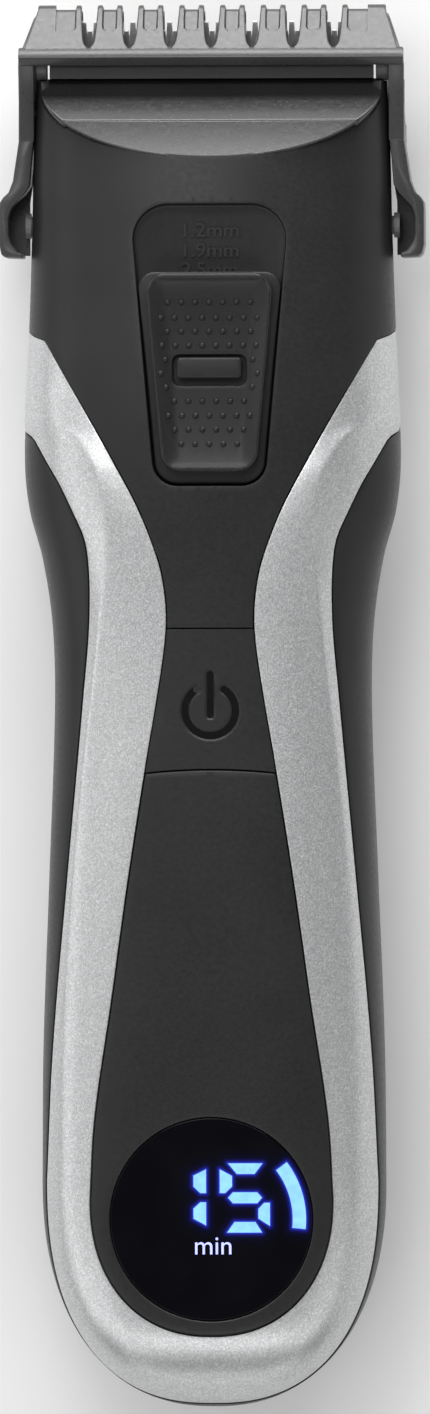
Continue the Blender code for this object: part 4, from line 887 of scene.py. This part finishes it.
def silver_frame(finish):
    """The wishbone trim, folded along a crease that fades out towards the butt."""
    count = 70
    inner_half, inner_drop = FRAME_HALF + SEAM, FRAME_DROP + SEAM
    inner_u_x, inner_u_y = u_curve(FRAME_CENTRE, inner_half, inner_drop, FRAME_POWER, count)
    outer_half = half_width(BUTT_LENGTH) - SIDE_PANEL[0, 1] - SEAM
    outer_u_x, outer_u_y = u_curve(BUTT_LENGTH, outer_half, OUTER_DROP - SEAM, OUTER_POWER, count)
    limb = np.linspace(0.0, 1.0, 190)[1:]
    tip = FRAME_TIP - SEAM
    inner_rows = FRAME_CENTRE + (tip - FRAME_CENTRE) * limb
    outer_rows = BUTT_LENGTH + (tip - BUTT_LENGTH) * limb
    level = np.minimum(limb / 0.12, 1.0)
    inner_rows = np.where(limb > 0.12, outer_rows, inner_rows * (1 - level) + outer_rows * level)
    inner_y = np.concatenate([inner_u_y, inner_rows])
    outer_y = np.concatenate([outer_u_y, outer_rows])
    inner_a = np.concatenate([front_angle(inner_u_x, inner_u_y), inner_angle(inner_rows, SEAM)])
    outer_a = np.concatenate([front_angle(outer_u_x, outer_u_y), outer_angle(outer_rows, -SEAM)])
    outer_a = np.maximum(outer_a, inner_a + 0.004)
    across = 33
    share = np.linspace(0.0, 1.0, across)
    crease_x = smooth(CREASE, outer_y)
    crease_a = front_angle(np.minimum(crease_x, half_width(outer_y) * 0.99), outer_y)
    fold = np.clip((crease_a - inner_a) / (outer_a - inner_a), 0.3, 0.93)
    rise = np.interp(outer_y, CREASE_RISE_Y, CREASE_RISE)
    ramp = share[None, :]
    peak = fold[:, None]
    profile = np.where(ramp < peak, ramp / peak, (1 - ramp) / (1 - peak))
    profile = 1 - np.sqrt((1 - profile) ** 2 + 0.0016)
    lift = rise[:, None] * profile
    y = inner_y[:, None] * (1 - ramp) + outer_y[:, None] * ramp
    angle = inner_a[:, None] * (1 - ramp) + outer_a[:, None] * ramp
    y = np.concatenate([y[::-1], y[1:]])
    angle = np.concatenate([-angle[::-1], angle[1:]])
    lift = np.concatenate([lift[::-1], lift[1:]])
    sheet = skin_sheet("silver_frame_shell", y, angle, finish, lift=lift)
    shell(sheet)
    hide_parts("silver_frame")
    return [sheet]


def lower_panel(finish):
    count = 60
    u_x, u_y = u_curve(FRAME_CENTRE, FRAME_HALF - SEAM, FRAME_DROP - SEAM, FRAME_POWER, count)
    top = BUTTON_LOW - SEAM
    rows = np.linspace(FRAME_CENTRE, top, 90)[1:]
    top_x = np.linspace(inner_x(top, -SEAM), 0.0, 14)[1:]
    arch = top + 0.45 * (1 - (top_x / inner_x(top, -SEAM)) ** 2)
    right_y = np.concatenate([u_y, rows, arch])
    right_x = np.concatenate([u_x, inner_x(rows, -SEAM), top_x])
    right_angle = front_angle(right_x, right_y)
    outer_y = np.concatenate([right_y, right_y[-2:0:-1]])
    outer_a = np.concatenate([right_angle, -right_angle[-2:0:-1]])
    turn = np.linspace(0.0, 2 * np.pi, 181)[:-1]
    hole = np.stack([DISPLAY_RADIUS * np.cos(turn), DISPLAY_Y + DISPLAY_RADIUS * np.sin(turn)], axis=1)
    sheet = skin_patch("lower_panel_shell", outer_y, outer_a, hole, finish)
    shell(sheet)
    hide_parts("lower_panel")
    return [sheet]


def icon_depth(x, y):
    """Depth of the engraved on/off ring and its bar, with soft edges."""
    radius = np.hypot(x, y)
    angle = np.abs(np.arctan2(x, y))
    gap = math.radians(ICON_GAP)
    end_x, end_y = ICON_RADIUS * math.sin(gap), ICON_RADIUS * math.cos(gap)
    to_end = np.hypot(np.abs(x) - end_x, y - end_y)
    ring = np.where(angle > gap, np.abs(radius - ICON_RADIUS), to_end) - ICON_LINE
    bar = np.hypot(x, y - np.clip(y, ICON_BAR_LOW, ICON_BAR_HIGH)) - ICON_LINE
    distance = np.minimum(ring, bar)
    return ICON_DEPTH * np.clip(0.5 - distance / 0.16, 0.0, 1.0)


def icon_inlay(finish):
    """Smoked shapes on the floor of the engraved icon."""
    line = ICON_LINE - 0.12
    gap = math.radians(ICON_GAP)
    turn = np.linspace(gap, 2 * np.pi - gap, 70)
    cap = np.linspace(0.0, np.pi, 9)[1:-1]
    along, across = np.cos(cap), np.sin(cap)
    out = np.stack([np.sin(turn), np.cos(turn)], axis=1)
    spine = ICON_RADIUS * out

    def round_end(index, way):
        beyond = np.array([-out[index][1], out[index][0]])
        return spine[index] + line * (way * np.outer(along, out[index]) + np.outer(across, beyond))

    inner = (spine - line * out)[::-1]
    ring = np.concatenate([spine + line * out, round_end(-1, 1), inner, round_end(0, -1)])
    half = line - 0.02
    top = np.stack([half * along, ICON_BAR_HIGH + half * across], axis=1)
    bottom = np.stack([-half * along, ICON_BAR_LOW - half * across], axis=1)
    right = [(half, ICON_BAR_LOW), (half, ICON_BAR_HIGH)]
    left = [(-half, ICON_BAR_HIGH), (-half, ICON_BAR_LOW)]
    bar = np.concatenate([right, top, left, bottom])
    pieces = []
    for name, outline in (("icon_ring", ring), ("icon_bar", bar)):
        x, y = outline[:, 0], outline[:, 1] + ICON_Y
        height = front_height(x, y) - ICON_DEPTH
        low = np.column_stack([x, y, height - 0.05])
        high = np.column_stack([x, y, height + 0.03])
        pieces.append(rings_piece(name, [low, high], finish))
    return pieces


def power_button(finish, inlay):
    low, high = BUTTON_LOW + SEAM, BUTTON_HIGH - SEAM
    rows = np.linspace(low, high, 170)
    edge = inner_x(rows, -SEAM)
    x = edge[:, None] * np.linspace(-1.0, 1.0, 150)[None, :]
    y = np.broadcast_to(rows[:, None], x.shape)
    arch = 0.45 * (1 - (x / edge[:, None]) ** 2) * np.clip((low + 3.0 - y) / 3.0, 0.0, 1.0)
    y = y + arch
    depth = -icon_depth(x, y - ICON_Y)
    sheet = skin_sheet("power_button_cap", y, front_angle(x, y), finish, lift=depth)
    shell(sheet, WALL, BUTTON_EDGE)
    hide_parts("power_button")
    return [sheet, *icon_inlay(inlay)]


# Display


def disc_on_skin(name, radius, finish, centre_y, lift=0.0):
    turn = np.linspace(0.0, 2 * np.pi, 241)[:-1]
    share = np.linspace(0.01, 1.0, 70)
    x = share[:, None] * radius * np.cos(turn)[None, :]
    y = centre_y + share[:, None] * radius * np.sin(turn)[None, :]
    points = np.stack([x, y, front_height(x, y) + lift], axis=-1)
    faces = grid_faces(len(share), len(turn), closed=True)
    faces.append(tuple(range(len(turn))))
    return mesh_object(name, points.reshape(-1, 3), faces, finish)


def display_lens(finish):
    """The window, whose mesh carries how near each place is to a lit segment."""
    lens = disc_on_skin("display_window", DISPLAY_RADIUS - SEAM, finish, DISPLAY_Y, -LENS_DROP)
    lit = [dense(np.asarray(outline, float), 0.1) for outline in segment_outlines()]
    lit.append(dense(np.array(arc_outline(*DISPLAY_ARC)), 0.1))
    places = np.array([tuple(vertex.co) for vertex in lens.data.vertices]) / MM
    places = (places - (0.0, BUTT, REST_DEPTH))[:, :2] - (0.0, DISPLAY_Y)
    near = np.min([gap_to(places, outline) for outline in lit], axis=0)
    glow = lens.data.attributes.new("glow", "FLOAT", "POINT")
    glow.data.foreach_set("value", np.exp(-near / GLOW_REACH).astype(np.float32))
    shell(lens, LENS_WALL, LENS_EDGE)
    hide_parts("display_lens")
    return [lens]


def flat_on_lens(name, outline, finish, lift):
    """A thin lit shape just over the window; the outline is measured from its centre."""
    outline = np.asarray(outline, float)
    y = outline[:, 1] + DISPLAY_Y
    z = front_height(outline[:, 0], y) - LENS_DROP
    low = np.column_stack([outline[:, 0], y, z + lift - 0.02])
    high = np.column_stack([outline[:, 0], y, z + lift])
    return rings_piece(name, [low, high], finish)


def segment_outlines():
    """Seven-segment strokes of a one and a five."""
    one = [
        [(-0.64, 6.23), (-0.64, 3.28), (-1.35, 3.28), (-2.2, 4.1), (-2.2, 5.45)],
        [(-0.64, 2.13), (-0.64, -0.74), (-2.2, 0.1), (-2.2, 1.35), (-1.35, 2.13)],
    ]
    five = [
        [(2.11, 6.97), (6.41, 6.97), (5.4, 5.65), (3.2, 5.65)],
        [(1.08, 6.23), (2.6, 5.4), (2.6, 4.1), (1.75, 3.28), (1.08, 3.28)],
        [(2.11, 2.7), (2.7, 3.36), (5.75, 3.36), (6.33, 2.7), (5.75, 2.01), (2.7, 2.01)],
        [(7.31, 2.05), (6.6, 2.05), (5.88, 1.3), (5.88, 0.1), (7.31, -0.82)],
        [(1.98, -1.64), (6.33, -1.64), (5.5, -0.33), (2.9, -0.33)],
    ]
    return one + five


def arc_outline(radius, width, start, end, steps=30):
    turn = np.radians(np.linspace(start, end, steps))
    outer = [((radius + width) * math.cos(a), (radius + width) * math.sin(a)) for a in turn]
    inner = [(radius * math.cos(a), radius * math.sin(a)) for a in turn[::-1]]
    return outer + inner


def display_marks(segment, small):
    marks = []
    for number, outline in enumerate(segment_outlines(), start=1):
        piece = flat_on_lens(f"display_segment_{number}", dense(outline, 1.0), segment, MARK_LIFT)
        marks.append(piece)
    arc = arc_outline(*DISPLAY_ARC)
    marks.append(flat_on_lens("display_arc", arc, segment, ARC_LIFT))
    unit = lettering("display_unit", "min", UNIT_SIZE, UNIT_PLACE, 0.02, small)
    marks.append(unit)
    return marks


def lettering(name, words, size, place, thickness, finish, bold=0.0, width=None):
    """Plain raised characters, centred at a place."""
    curve = bpy.data.curves.new(name, "FONT")
    curve.body = words
    curve.size = size * MM
    curve.align_x = "CENTER"
    curve.extrude = thickness / 2 * MM
    curve.offset = bold * MM
    text = bpy.data.objects.new(name, curve)
    bpy.context.scene.collection.objects.link(text)
    bpy.context.view_layer.update()
    mesh = bpy.data.meshes.new_from_object(text)
    bpy.data.objects.remove(text)
    piece = bpy.data.objects.new(name, mesh)
    bpy.context.scene.collection.objects.link(piece)
    spot = world([place])[0]
    stretch = 1.0
    if width:
        stretch = width * MM / (max(v.co.x for v in mesh.vertices) - min(v.co.x for v in mesh.vertices))
    mesh.transform(Matrix.Translation(spot) @ Matrix.Diagonal((stretch, 1, 1, 1)))
    mesh.materials.clear()
    mesh.materials.append(finish)
    return piece


# Thumb slider and lock key


def stacked(name, outline, levels, finish):
    """A body from an outline and its (inset, height) levels, from low to high."""
    rings = []
    for inset, height in levels:
        shrunk = shrink(outline, inset)
        rings.append(np.column_stack([shrunk, np.full(len(shrunk), height)]))
    return rings_piece(name, rings, finish, sharp=50.0)


def quarter(inset, height, radius, steps=5):
    """Levels that round off an upper edge ending at `height`."""
    levels = []
    for step in range(steps + 1):
        turn = math.pi / 2 * step / steps
        levels.append(
            (inset + radius * (1 - math.cos(turn)), height - radius * (1 - math.sin(turn)))
        )
    return levels


def dish_depth(x, y):
    """How far the thumb dish sinks at a place on the pad."""
    middle, half = (PAD_LOW + PAD_HIGH) / 2, (PAD_HIGH - PAD_LOW) / 2 - 0.6
    share = np.clip(1 - ((y - middle) / half) ** 2, 0.0, 1.0)
    side = recess_half(y) - 1.35 - np.abs(x)
    ramp = np.clip(side / 2.2, 0.0, 1.0)
    ramp = ramp * ramp * (3 - 2 * ramp)
    return 1.15 * np.sqrt(share) ** 0.9 * (0.25 * np.clip(side / 0.5, 0.0, 1.0) + 0.75 * ramp)


def pad_height(points, outline):
    """The pad's top: rounded at its edge and dished inside."""
    edge = np.clip(PAD_ROUND - gap_to(points, dense(outline, 0.1)), 0.0, PAD_ROUND)
    rounded_off = PAD_ROUND - np.sqrt(PAD_ROUND**2 - edge**2)
    return SLIDER_TOP - rounded_off - dish_depth(points[:, 0], points[:, 1])


def key_outline(x_margin, low_margin, high_margin, radius):
    corners = [
        (-4.05 - x_margin, KEY_Y - 1.3 - low_margin),
        (4.05 + x_margin, KEY_Y - 1.3 - low_margin),
        (4.05 + x_margin, KEY_Y + 1.3 + high_margin),
        (-4.05 - x_margin, KEY_Y + 1.3 + high_margin),
    ]
    return dense(rounded(corners, [radius] * 4), 0.4)


def thumb_slider(finish):
    gap = 0.22
    base_outline = tapered_outline(RECESS_LOW + gap, SLIDER_HIGH, gap, 2.9, 2.0)
    base_levels = [(0.0, RECESS_FLOOR + 0.32)] + quarter(0.0, 11.0, 0.3)
    base = stacked("slider_base", base_outline, base_levels, finish)
    outline = tapered_outline(PAD_LOW, PAD_HIGH, gap + 0.95, 2.6, 2.4)
    pit = key_outline(0.5, 0.85, 0.3, 0.8)
    rounds = [shrink(outline, PAD_ROUND * step) for step in (0.06, 0.2, 0.45, 0.75, 1.0)]
    rounds += [shrink(pit, -step) for step in (0.08, 0.2)]
    flat, faces = triangulated(outline, [pit], 0.33, extra=rounds)
    height = pad_height(flat, outline)
    lip = np.clip(0.2 - gap_to(flat, dense(pit, 0.05)), 0.0, 0.2)
    height = height - (0.2 - np.sqrt(np.maximum(0.04 - lip**2, 0.0)))
    vertices = [np.column_stack([flat, height])]
    start = len(flat)
    rim, brink, _ = np.split(height, [len(outline), len(outline) + len(pit)])
    loops = [(outline, rim, 10.7), (pit, brink, 11.1)]
    for loop, top, bottom in loops:
        count = len(loop)
        vertices.append(np.column_stack([loop, top]))
        vertices.append(np.column_stack([loop, np.full(count, bottom)]))
        for index in range(count):
            after = (index + 1) % count
            faces.append((start + index, start + after, start + count + after, start + count + index))
        if loop is pit:
            faces.append(tuple(range(start + count, start + 2 * count)))
        start += 2 * count
    pad = mesh_object("slider_pad", np.concatenate(vertices), faces, finish, 60.0)
    face_up(pad)
    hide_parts("thumb_slider")
    return [base, pad] + slider_nubs(finish, outline)


def slider_nubs(finish, outline):
    """Rows of small domes over the thumb dish, joined into one piece."""
    work = bmesh.new()
    for rise, count, spread in NUB_ROWS:
        y = RECESS_LOW + rise
        for index in range(count):
            x = spread * (2 * index / (count - 1) - 1)
            z = float(pad_height(np.array([[x, y]]), outline)[0])
            spot = Vector(world([(x, y, z - 0.05)])[0])
            flatten = Matrix.Diagonal((1.0, 1.0, 0.8, 1.0))
            place = Matrix.Translation(spot) @ flatten
            bmesh.ops.create_uvsphere(work, u_segments=14, v_segments=8, radius=0.4 * MM, matrix=place)
    mesh = bpy.data.meshes.new("slider_nubs")
    work.to_mesh(mesh)
    work.free()
    mesh.shade_smooth()
    mesh.materials.append(finish)
    piece = bpy.data.objects.new("slider_nubs", mesh)
    bpy.context.scene.collection.objects.link(piece)
    return [piece]


def lock_key(finish):
    outline = key_outline(0.0, 0.0, 0.0, 0.5)
    key = stacked("lock_key_bar", outline, [(0.0, 12.0)] + quarter(0.0, 12.85, 0.3), finish)
    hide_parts("lock_key")
    return [key]


def scale_marks(finish):
    marks = []
    for number, (words, y) in enumerate(SCALE, start=1):
        place = (0.0, y, RECESS_FLOOR + 0.1)
        name = f"scale_mark_{number}"
        marks.append(lettering(name, words, SCALE_SIZE, place, 0.3, finish, 0.03, SCALE_WIDTH))
    return marks


# Comb


def wedge(name, profile, x0, x1, finish, bevel=0.14):
    """A profile in (y, z) run from x0 to x1, with rounded edges."""
    low = [(x0, y, z) for y, z in profile]
    high = [(x1, y, z) for y, z in profile]
    piece = rings_piece(name, [low, high], finish)
    round_edges(piece, bevel)
    return piece


def comb_path(s):
    """Place and outward normal in (y, z) at a distance along the comb's face and round its nose."""
    run = np.subtract(COMB_NOSE, COMB_BROW) / COMB_SPAN
    out = np.array([-run[1], run[0]])
    if s <= COMB_SPAN:
        return np.array(COMB_BROW) + run * s, out
    centre = np.array(COMB_NOSE) - out * NOSE_RADIUS
    turn = math.atan2(out[1], out[0]) - (s - COMB_SPAN) / NOSE_RADIUS
    normal = np.array([math.cos(turn), math.sin(turn)])
    return centre + normal * NOSE_RADIUS, normal


def on_comb(s, rise=0.0):
    place, normal = comb_path(s)
    return tuple(place + normal * rise)


def finger_centre(index):
    return COMB_PITCH * (index - (COMB_FINGERS - 1) / 2)


def finger(index, finish):
    """One comb finger: a tapering tongue that curls round the nose, grooved along its middle."""
    centre = finger_centre(index)
    along_face = np.linspace(COMB_BRIDGE - 0.35, COMB_SPAN, 34)
    round_nose = COMB_SPAN + np.linspace(0.1, 3.1, 16)
    tip_half, root_gain, fillet, fillet_reach = FINGER_HALF
    near_end = COMB_GROOVE + COMB_GROOVE_HALF
    rings = []
    for s in np.concatenate([along_face, round_nose]):
        taper = min(s / COMB_SPAN, 1.0)
        half = tip_half + root_gain * (1 - taper)
        half += fillet * math.exp(-max(s - COMB_BRIDGE, 0.0) / fillet_reach)
        left, right = centre - half, centre + half
        outer_edge = END_FINGER_HALF - 2.0 * taper
        if index == 0:
            left = -outer_edge
        if index == COMB_FINGERS - 1:
            right = outer_edge
        place, normal = comb_path(s)
        columns = 1 - np.cos(np.linspace(0.0, np.pi, 45))
        x = left + (right - left) * columns / 2
        step_at = math.copysign(COMB_END_STEP, centre)
        beside_step = np.clip(step_at + np.linspace(-0.12, 0.12, 7), left + 0.01, right - 0.01)
        groove = centre + np.linspace(-1.2, 1.2, 25) * COMB_GROOVE_HALF
        x = np.sort(np.concatenate([x, groove, beside_step]))
        side = np.minimum(x - left, right - x)
        edge = np.clip(FINGER_EDGE - side, 0.0, FINGER_EDGE)
        height = np.sqrt(FINGER_EDGE**2 - edge**2) - FINGER_EDGE
        beyond = min(s - near_end, 0.0)
        reach = np.hypot(x - centre, beyond)
        if abs(centre) > COMB_END_STEP - 2.0:
            step = np.abs(x) > COMB_END_STEP - 0.01
            outside = np.sign(centre) * (x - centre) > 0
            reach = np.where(step, 9.0, np.where(outside, -beyond, reach))
        height = height - GROOVE_DEPTH * np.clip((COMB_GROOVE_HALF - reach) / 0.2, 0.0, 1.0)
        top = [(u, *(place + normal * h)) for u, h in zip(x, height)]
        below = place - normal * min(FINGER_THICK, NOSE_RADIUS - 0.05)
        under = [(u, *below) for u in np.linspace(right, left, 6)]
        rings.append(top + under)
    return rings_piece("finger", rings, finish, sharp=50.0)


def merged(name, pieces, finish):
    """Joins pieces into one, with their modifiers applied."""
    work = bmesh.new()
    graph = bpy.context.evaluated_depsgraph_get()
    for piece in pieces:
        mesh = piece.evaluated_get(graph).to_mesh()
        work.from_mesh(mesh)
        piece.evaluated_get(graph).to_mesh_clear()
    mesh = bpy.data.meshes.new(name)
    work.to_mesh(mesh)
    work.free()
    for piece in pieces:
        bpy.data.objects.remove(piece)
    mesh.shade_smooth()
    mesh.set_sharp_from_angle(angle=math.radians(40))
    mesh.materials.append(finish)
    joined = bpy.data.objects.new(name, mesh)
    bpy.context.scene.collection.objects.link(joined)
    return joined


def plate(name, outline, side, z0, z1, finish):
    """A flat plate from a right-hand outline in (x, y), mirrored for the left."""
    outline = outline * (side, 1)
    low = np.column_stack([outline, np.full(len(outline), z0)])
    high = np.column_stack([outline, np.full(len(outline), z1)])
    return rings_piece(name, [low, high], finish)


def comb_side(side, finish):
    """One side wall with its corner, flange, ear and the web inside the ear."""

    def across(name, profile, x0, x1, bevel):
        x0, x1 = sorted((side * x0, side * x1))
        return wedge(name, profile, x0, x1, finish, bevel)

    wall = across("cheek", CHEEK_PROFILE, COMB_WALL_IN, COMB_WALL_OUT - 0.05, 0.25)
    for vertex in wall.data.vertices:
        past_brow = max(vertex.co.y - (COMB_BROW[0] + BUTT) * MM, 0.0)
        vertex.co.x -= side * past_brow * COMB_END_SLANT
    corner = across("corner", CORNER_PROFILE, COMB_INNER, COMB_WALL_IN + 0.2, 0.12)
    flange = across("flange", FLANGE_PROFILE, COMB_INNER + 0.05, COMB_WALL_OUT - 0.3, 0.1)
    hook = plate("ear", dense(ear_outline(), 0.6), side, *EAR_DEPTH, finish)
    round_edges(hook, 0.22)
    web = plate("ear_web", dense(web_outline(), 0.8), side, *WEB_DEPTH, finish)
    return [wall, corner, flange, hook, web]


def comb(finish):
    brow_y = COMB_BROW[0]
    bridge = [
        on_comb(0.0),
        on_comb(COMB_BRIDGE),
        on_comb(COMB_BRIDGE, -1.4),
        (brow_y - 0.2, 2.3),
        (brow_y - 0.95, 2.6),
        (brow_y - 1.0, 3.7),
    ]
    reach = COMB_WALL_OUT - 0.1
    pieces = [wedge("bridge", bridge, -reach, reach, finish, 0.2)]
    ribs = []
    for index in range(COMB_FINGERS):
        pieces.append(finger(index, finish))
        ribs += [finger_centre(index) - RIB_OFFSET, finger_centre(index) + RIB_OFFSET]
    for x in ribs:
        pieces.append(wedge("rib", RIB_PROFILE, x - 0.5, x + 0.5, finish, 0.1))
    pieces.append(wedge("heel", HEEL_PROFILE, -reach, reach, finish, 0.3))
    for side in (-1, 1):
        pieces += comb_side(side, finish)
    whole = merged("comb_body", pieces, finish)
    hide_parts("comb")
    return [whole]


def web_outline():
    """The thin floor that closes the inside of an ear, clear of the boss above it."""
    ear_out = HALF + 2.4
    return np.array(
        [
            (HALF - 1.05, REAR_END + 2.0),
            (HALF - 1.0, BOSS_Y + 6.0),
            (HALF - 0.5, BOSS_Y + 3.0),
            (HALF - 0.5, BOSS_Y - 3.7),
            (ear_out, BOSS_Y - 3.4),
            (ear_out, BOSS_Y + 2.4),
            (ear_out - 0.9, BOSS_Y + 3.8),
            (HALF + 0.3, BOSS_Y + 6.0),
            (HALF + 0.1, REAR_END + 2.0),
        ]
    )


def ear_outline():
    """Right-hand arm and ear: an open hook round the boss."""
    wall_out = COMB_WALL_OUT - 0.05
    ear_out, ear_wall = HALF + 3.06, 1.15
    bend = BOSS_Y + 4.6
    outer = [
        (wall_out, REAR_END + 2.5),
        (wall_out, REAR_END + 1.0),
        (wall_out + 0.75, bend + 0.9),
        (wall_out + 1.3, bend - 0.5),
        (ear_out - 0.5, bend - 1.1),
        (ear_out - 0.06, bend - 1.8),
        (ear_out, bend - 2.7),
        (ear_out, BOSS_Y - 2.5),
        (ear_out - 0.26, BOSS_Y - 3.6),
        (ear_out - 0.66, BOSS_Y - 4.0),
        (ear_out - 2.96, BOSS_Y - 4.1),
    ]
    inner = [
        (ear_out - 2.96, BOSS_Y - 3.6),
        (ear_out - 2.2, BOSS_Y - 3.3),
        (ear_out - ear_wall - 0.3, BOSS_Y - 2.2),
        (ear_out - ear_wall, BOSS_Y - 1.2),
        (ear_out - ear_wall, BOSS_Y + 1.0),
        (ear_out - ear_wall - 0.4, BOSS_Y + 2.2),
        (ear_out - ear_wall - 1.1, BOSS_Y + 3.0),
        (ear_out - ear_wall - 2.0, bend - 0.7),
        (HALF - 0.75, bend + 0.4),
        (HALF - 1.0, REAR_END - 1.2),
        (HALF - 1.3, REAR_END + 1.5),
        (HALF - 1.3, REAR_END + 2.5),
    ]
    return np.array(outer + inner)


# Stage


def studio_lamps():
    for name, place, width, height, power in LAMPS:
        light = bpy.data.lights.new(name, "AREA")
        light.shape = "RECTANGLE"
        light.size = width
        light.size_y = height
        light.energy = power
        lamp = bpy.data.objects.new(name, light)
        bpy.context.scene.collection.objects.link(lamp)
        lamp.location = place
        lamp.rotation_euler = (-Vector(place)).to_track_quat("-Z", "Y").to_euler()


def stage():
    finish = Finish("floor", 0.7)
    pale = [(0.3, (0.80, 0.80, 0.80)), (0.7, (0.83, 0.83, 0.83))]
    finish.connect(finish.ramp(finish.noise(60.0, 2.0), pale), "Base Color")
    bpy.ops.mesh.primitive_plane_add(size=3.0, location=(0, 0, -0.0003))
    floor = bpy.context.object
    floor.name = "floor"
    floor.data.materials.append(finish.material)
    studio_lamps()
    sky = bpy.data.worlds.new("studio")
    sky.use_nodes = True
    sky.node_tree.nodes["Background"].inputs["Color"].default_value = (1, 1, 1, 1)
    sky.node_tree.nodes["Background"].inputs["Strength"].default_value = SKY
    bpy.context.scene.world = sky
    bpy.context.scene.view_settings.view_transform = "Standard"


def camera():
    """Straight down on the front, turned a little towards the right-hand side."""
    yaw = math.radians(VIEW_YAW)
    roll = math.radians(VIEW_ROLL)
    x, y = VIEW_CENTRE
    target = MM * Vector((x, y + BUTT, REST_DEPTH))
    view = bpy.data.cameras.new("camera")
    view.sensor_fit = "VERTICAL"
    view.sensor_height = SENSOR
    view.lens = SENSOR * VIEW_DISTANCE / (VIEW_HEIGHT * MM)
    view.clip_end = 10.0
    eye = bpy.data.objects.new("camera", view)
    bpy.context.scene.collection.objects.link(eye)
    eye.location = target + VIEW_DISTANCE * Vector((math.sin(yaw), 0.0, math.cos(yaw)))
    eye.rotation_euler = (Matrix.Rotation(yaw, 3, "Y") @ Matrix.Rotation(roll, 3, "Z")).to_euler()
    bpy.context.scene.camera = eye


def cad_materials(finishes):
    """Better finishes on the CAD nodes that stay."""
    for finish, nodes in WEARING.items():
        for node in nodes.split():
            mesh = frame["nodes"][node].data
            mesh.materials.clear()
            mesh.materials.append(finishes[finish])


def main():
    finishes = {
        "black": moulded_plastic("black_plastic", (0.013, 0.013, 0.0133), 0.4, specular=0.3),
        "scoop": moulded_plastic("scoop_plastic", SCOOP_BLACK, 0.24, spread=0.04, specular=0.7),
        "inlay": moulded_plastic("icon_inlay", (0.004, 0.004, 0.004), 0.12, specular=0.3),
        "comb": moulded_plastic("comb_plastic", (0.035, 0.035, 0.036), 0.3, 0.4, 0.004, 0.04),
        "grey": moulded_plastic("grey_plastic", (0.2, 0.2, 0.21), 0.5),
        "white": moulded_plastic("white_plastic", (0.75, 0.75, 0.72), 0.4),
        "rubber": moulded_plastic("rubber", (0.02, 0.02, 0.02), 0.75),
        "silver": metallic_paint("silver_paint"),
        "glass": glossy("display_glass", (0.0018, 0.0018, 0.003)),
        "segment": light_segment("lit_segment", (0.15, 0.34, 0.92), 1.0),
        "small": light_segment("lit_unit", (0.35, 0.38, 1.0), 0.9),
        # Real ground steel on the blades, painted paler than steel as painted light: it stands in for
        # the bright light seen through the comb's gaps where the fingers shade the blades.
        "blade": ground_steel("blade_steel", (0.86, 0.86, 0.86), 0.4, (1, 0.05, 1)),
        "steel": ground_steel("screw_steel", (0.5, 0.5, 0.5), 0.3, (1, 1, 0.1)),
        "nickel": ground_steel("nickel", (0.7, 0.68, 0.6), 0.25, (1, 0.1, 1)),
        "board": moulded_plastic("circuit_board", (0.02, 0.12, 0.05), 0.35),
        "wrap": moulded_plastic("battery_wrap", (0.05, 0.12, 0.4), 0.35),
        "ribbon": moulded_plastic("ribbon", (0.6, 0.35, 0.1), 0.45),
        "red": moulded_plastic("red_insulation", (0.5, 0.02, 0.02), 0.45),
        "lead_black": moulded_plastic("black_insulation", (0.02, 0.02, 0.02), 0.45),
    }
    black = finishes["black"]
    riding = {
        "housing": [
            *front_housing(black, finishes["scoop"]),
            *rear_housing(black),
            *silver_frame(finishes["silver"]),
            *lower_panel(black),
            *display_lens(finishes["glass"]),
            *display_marks(finishes["segment"], finishes["small"]),
            *scale_marks(black),
        ],
        "power_key": power_button(black, finishes["inlay"]),
        "length_slide": thumb_slider(black),
        "lock": lock_key(black),
        "length_comb": comb(finishes["comb"]),
    }
    for body, pieces in riding.items():
        for piece in pieces:
            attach(piece, body)
    cad_materials(finishes)
    stage()
    camera()


main()

bpy.context.view_layer.update()
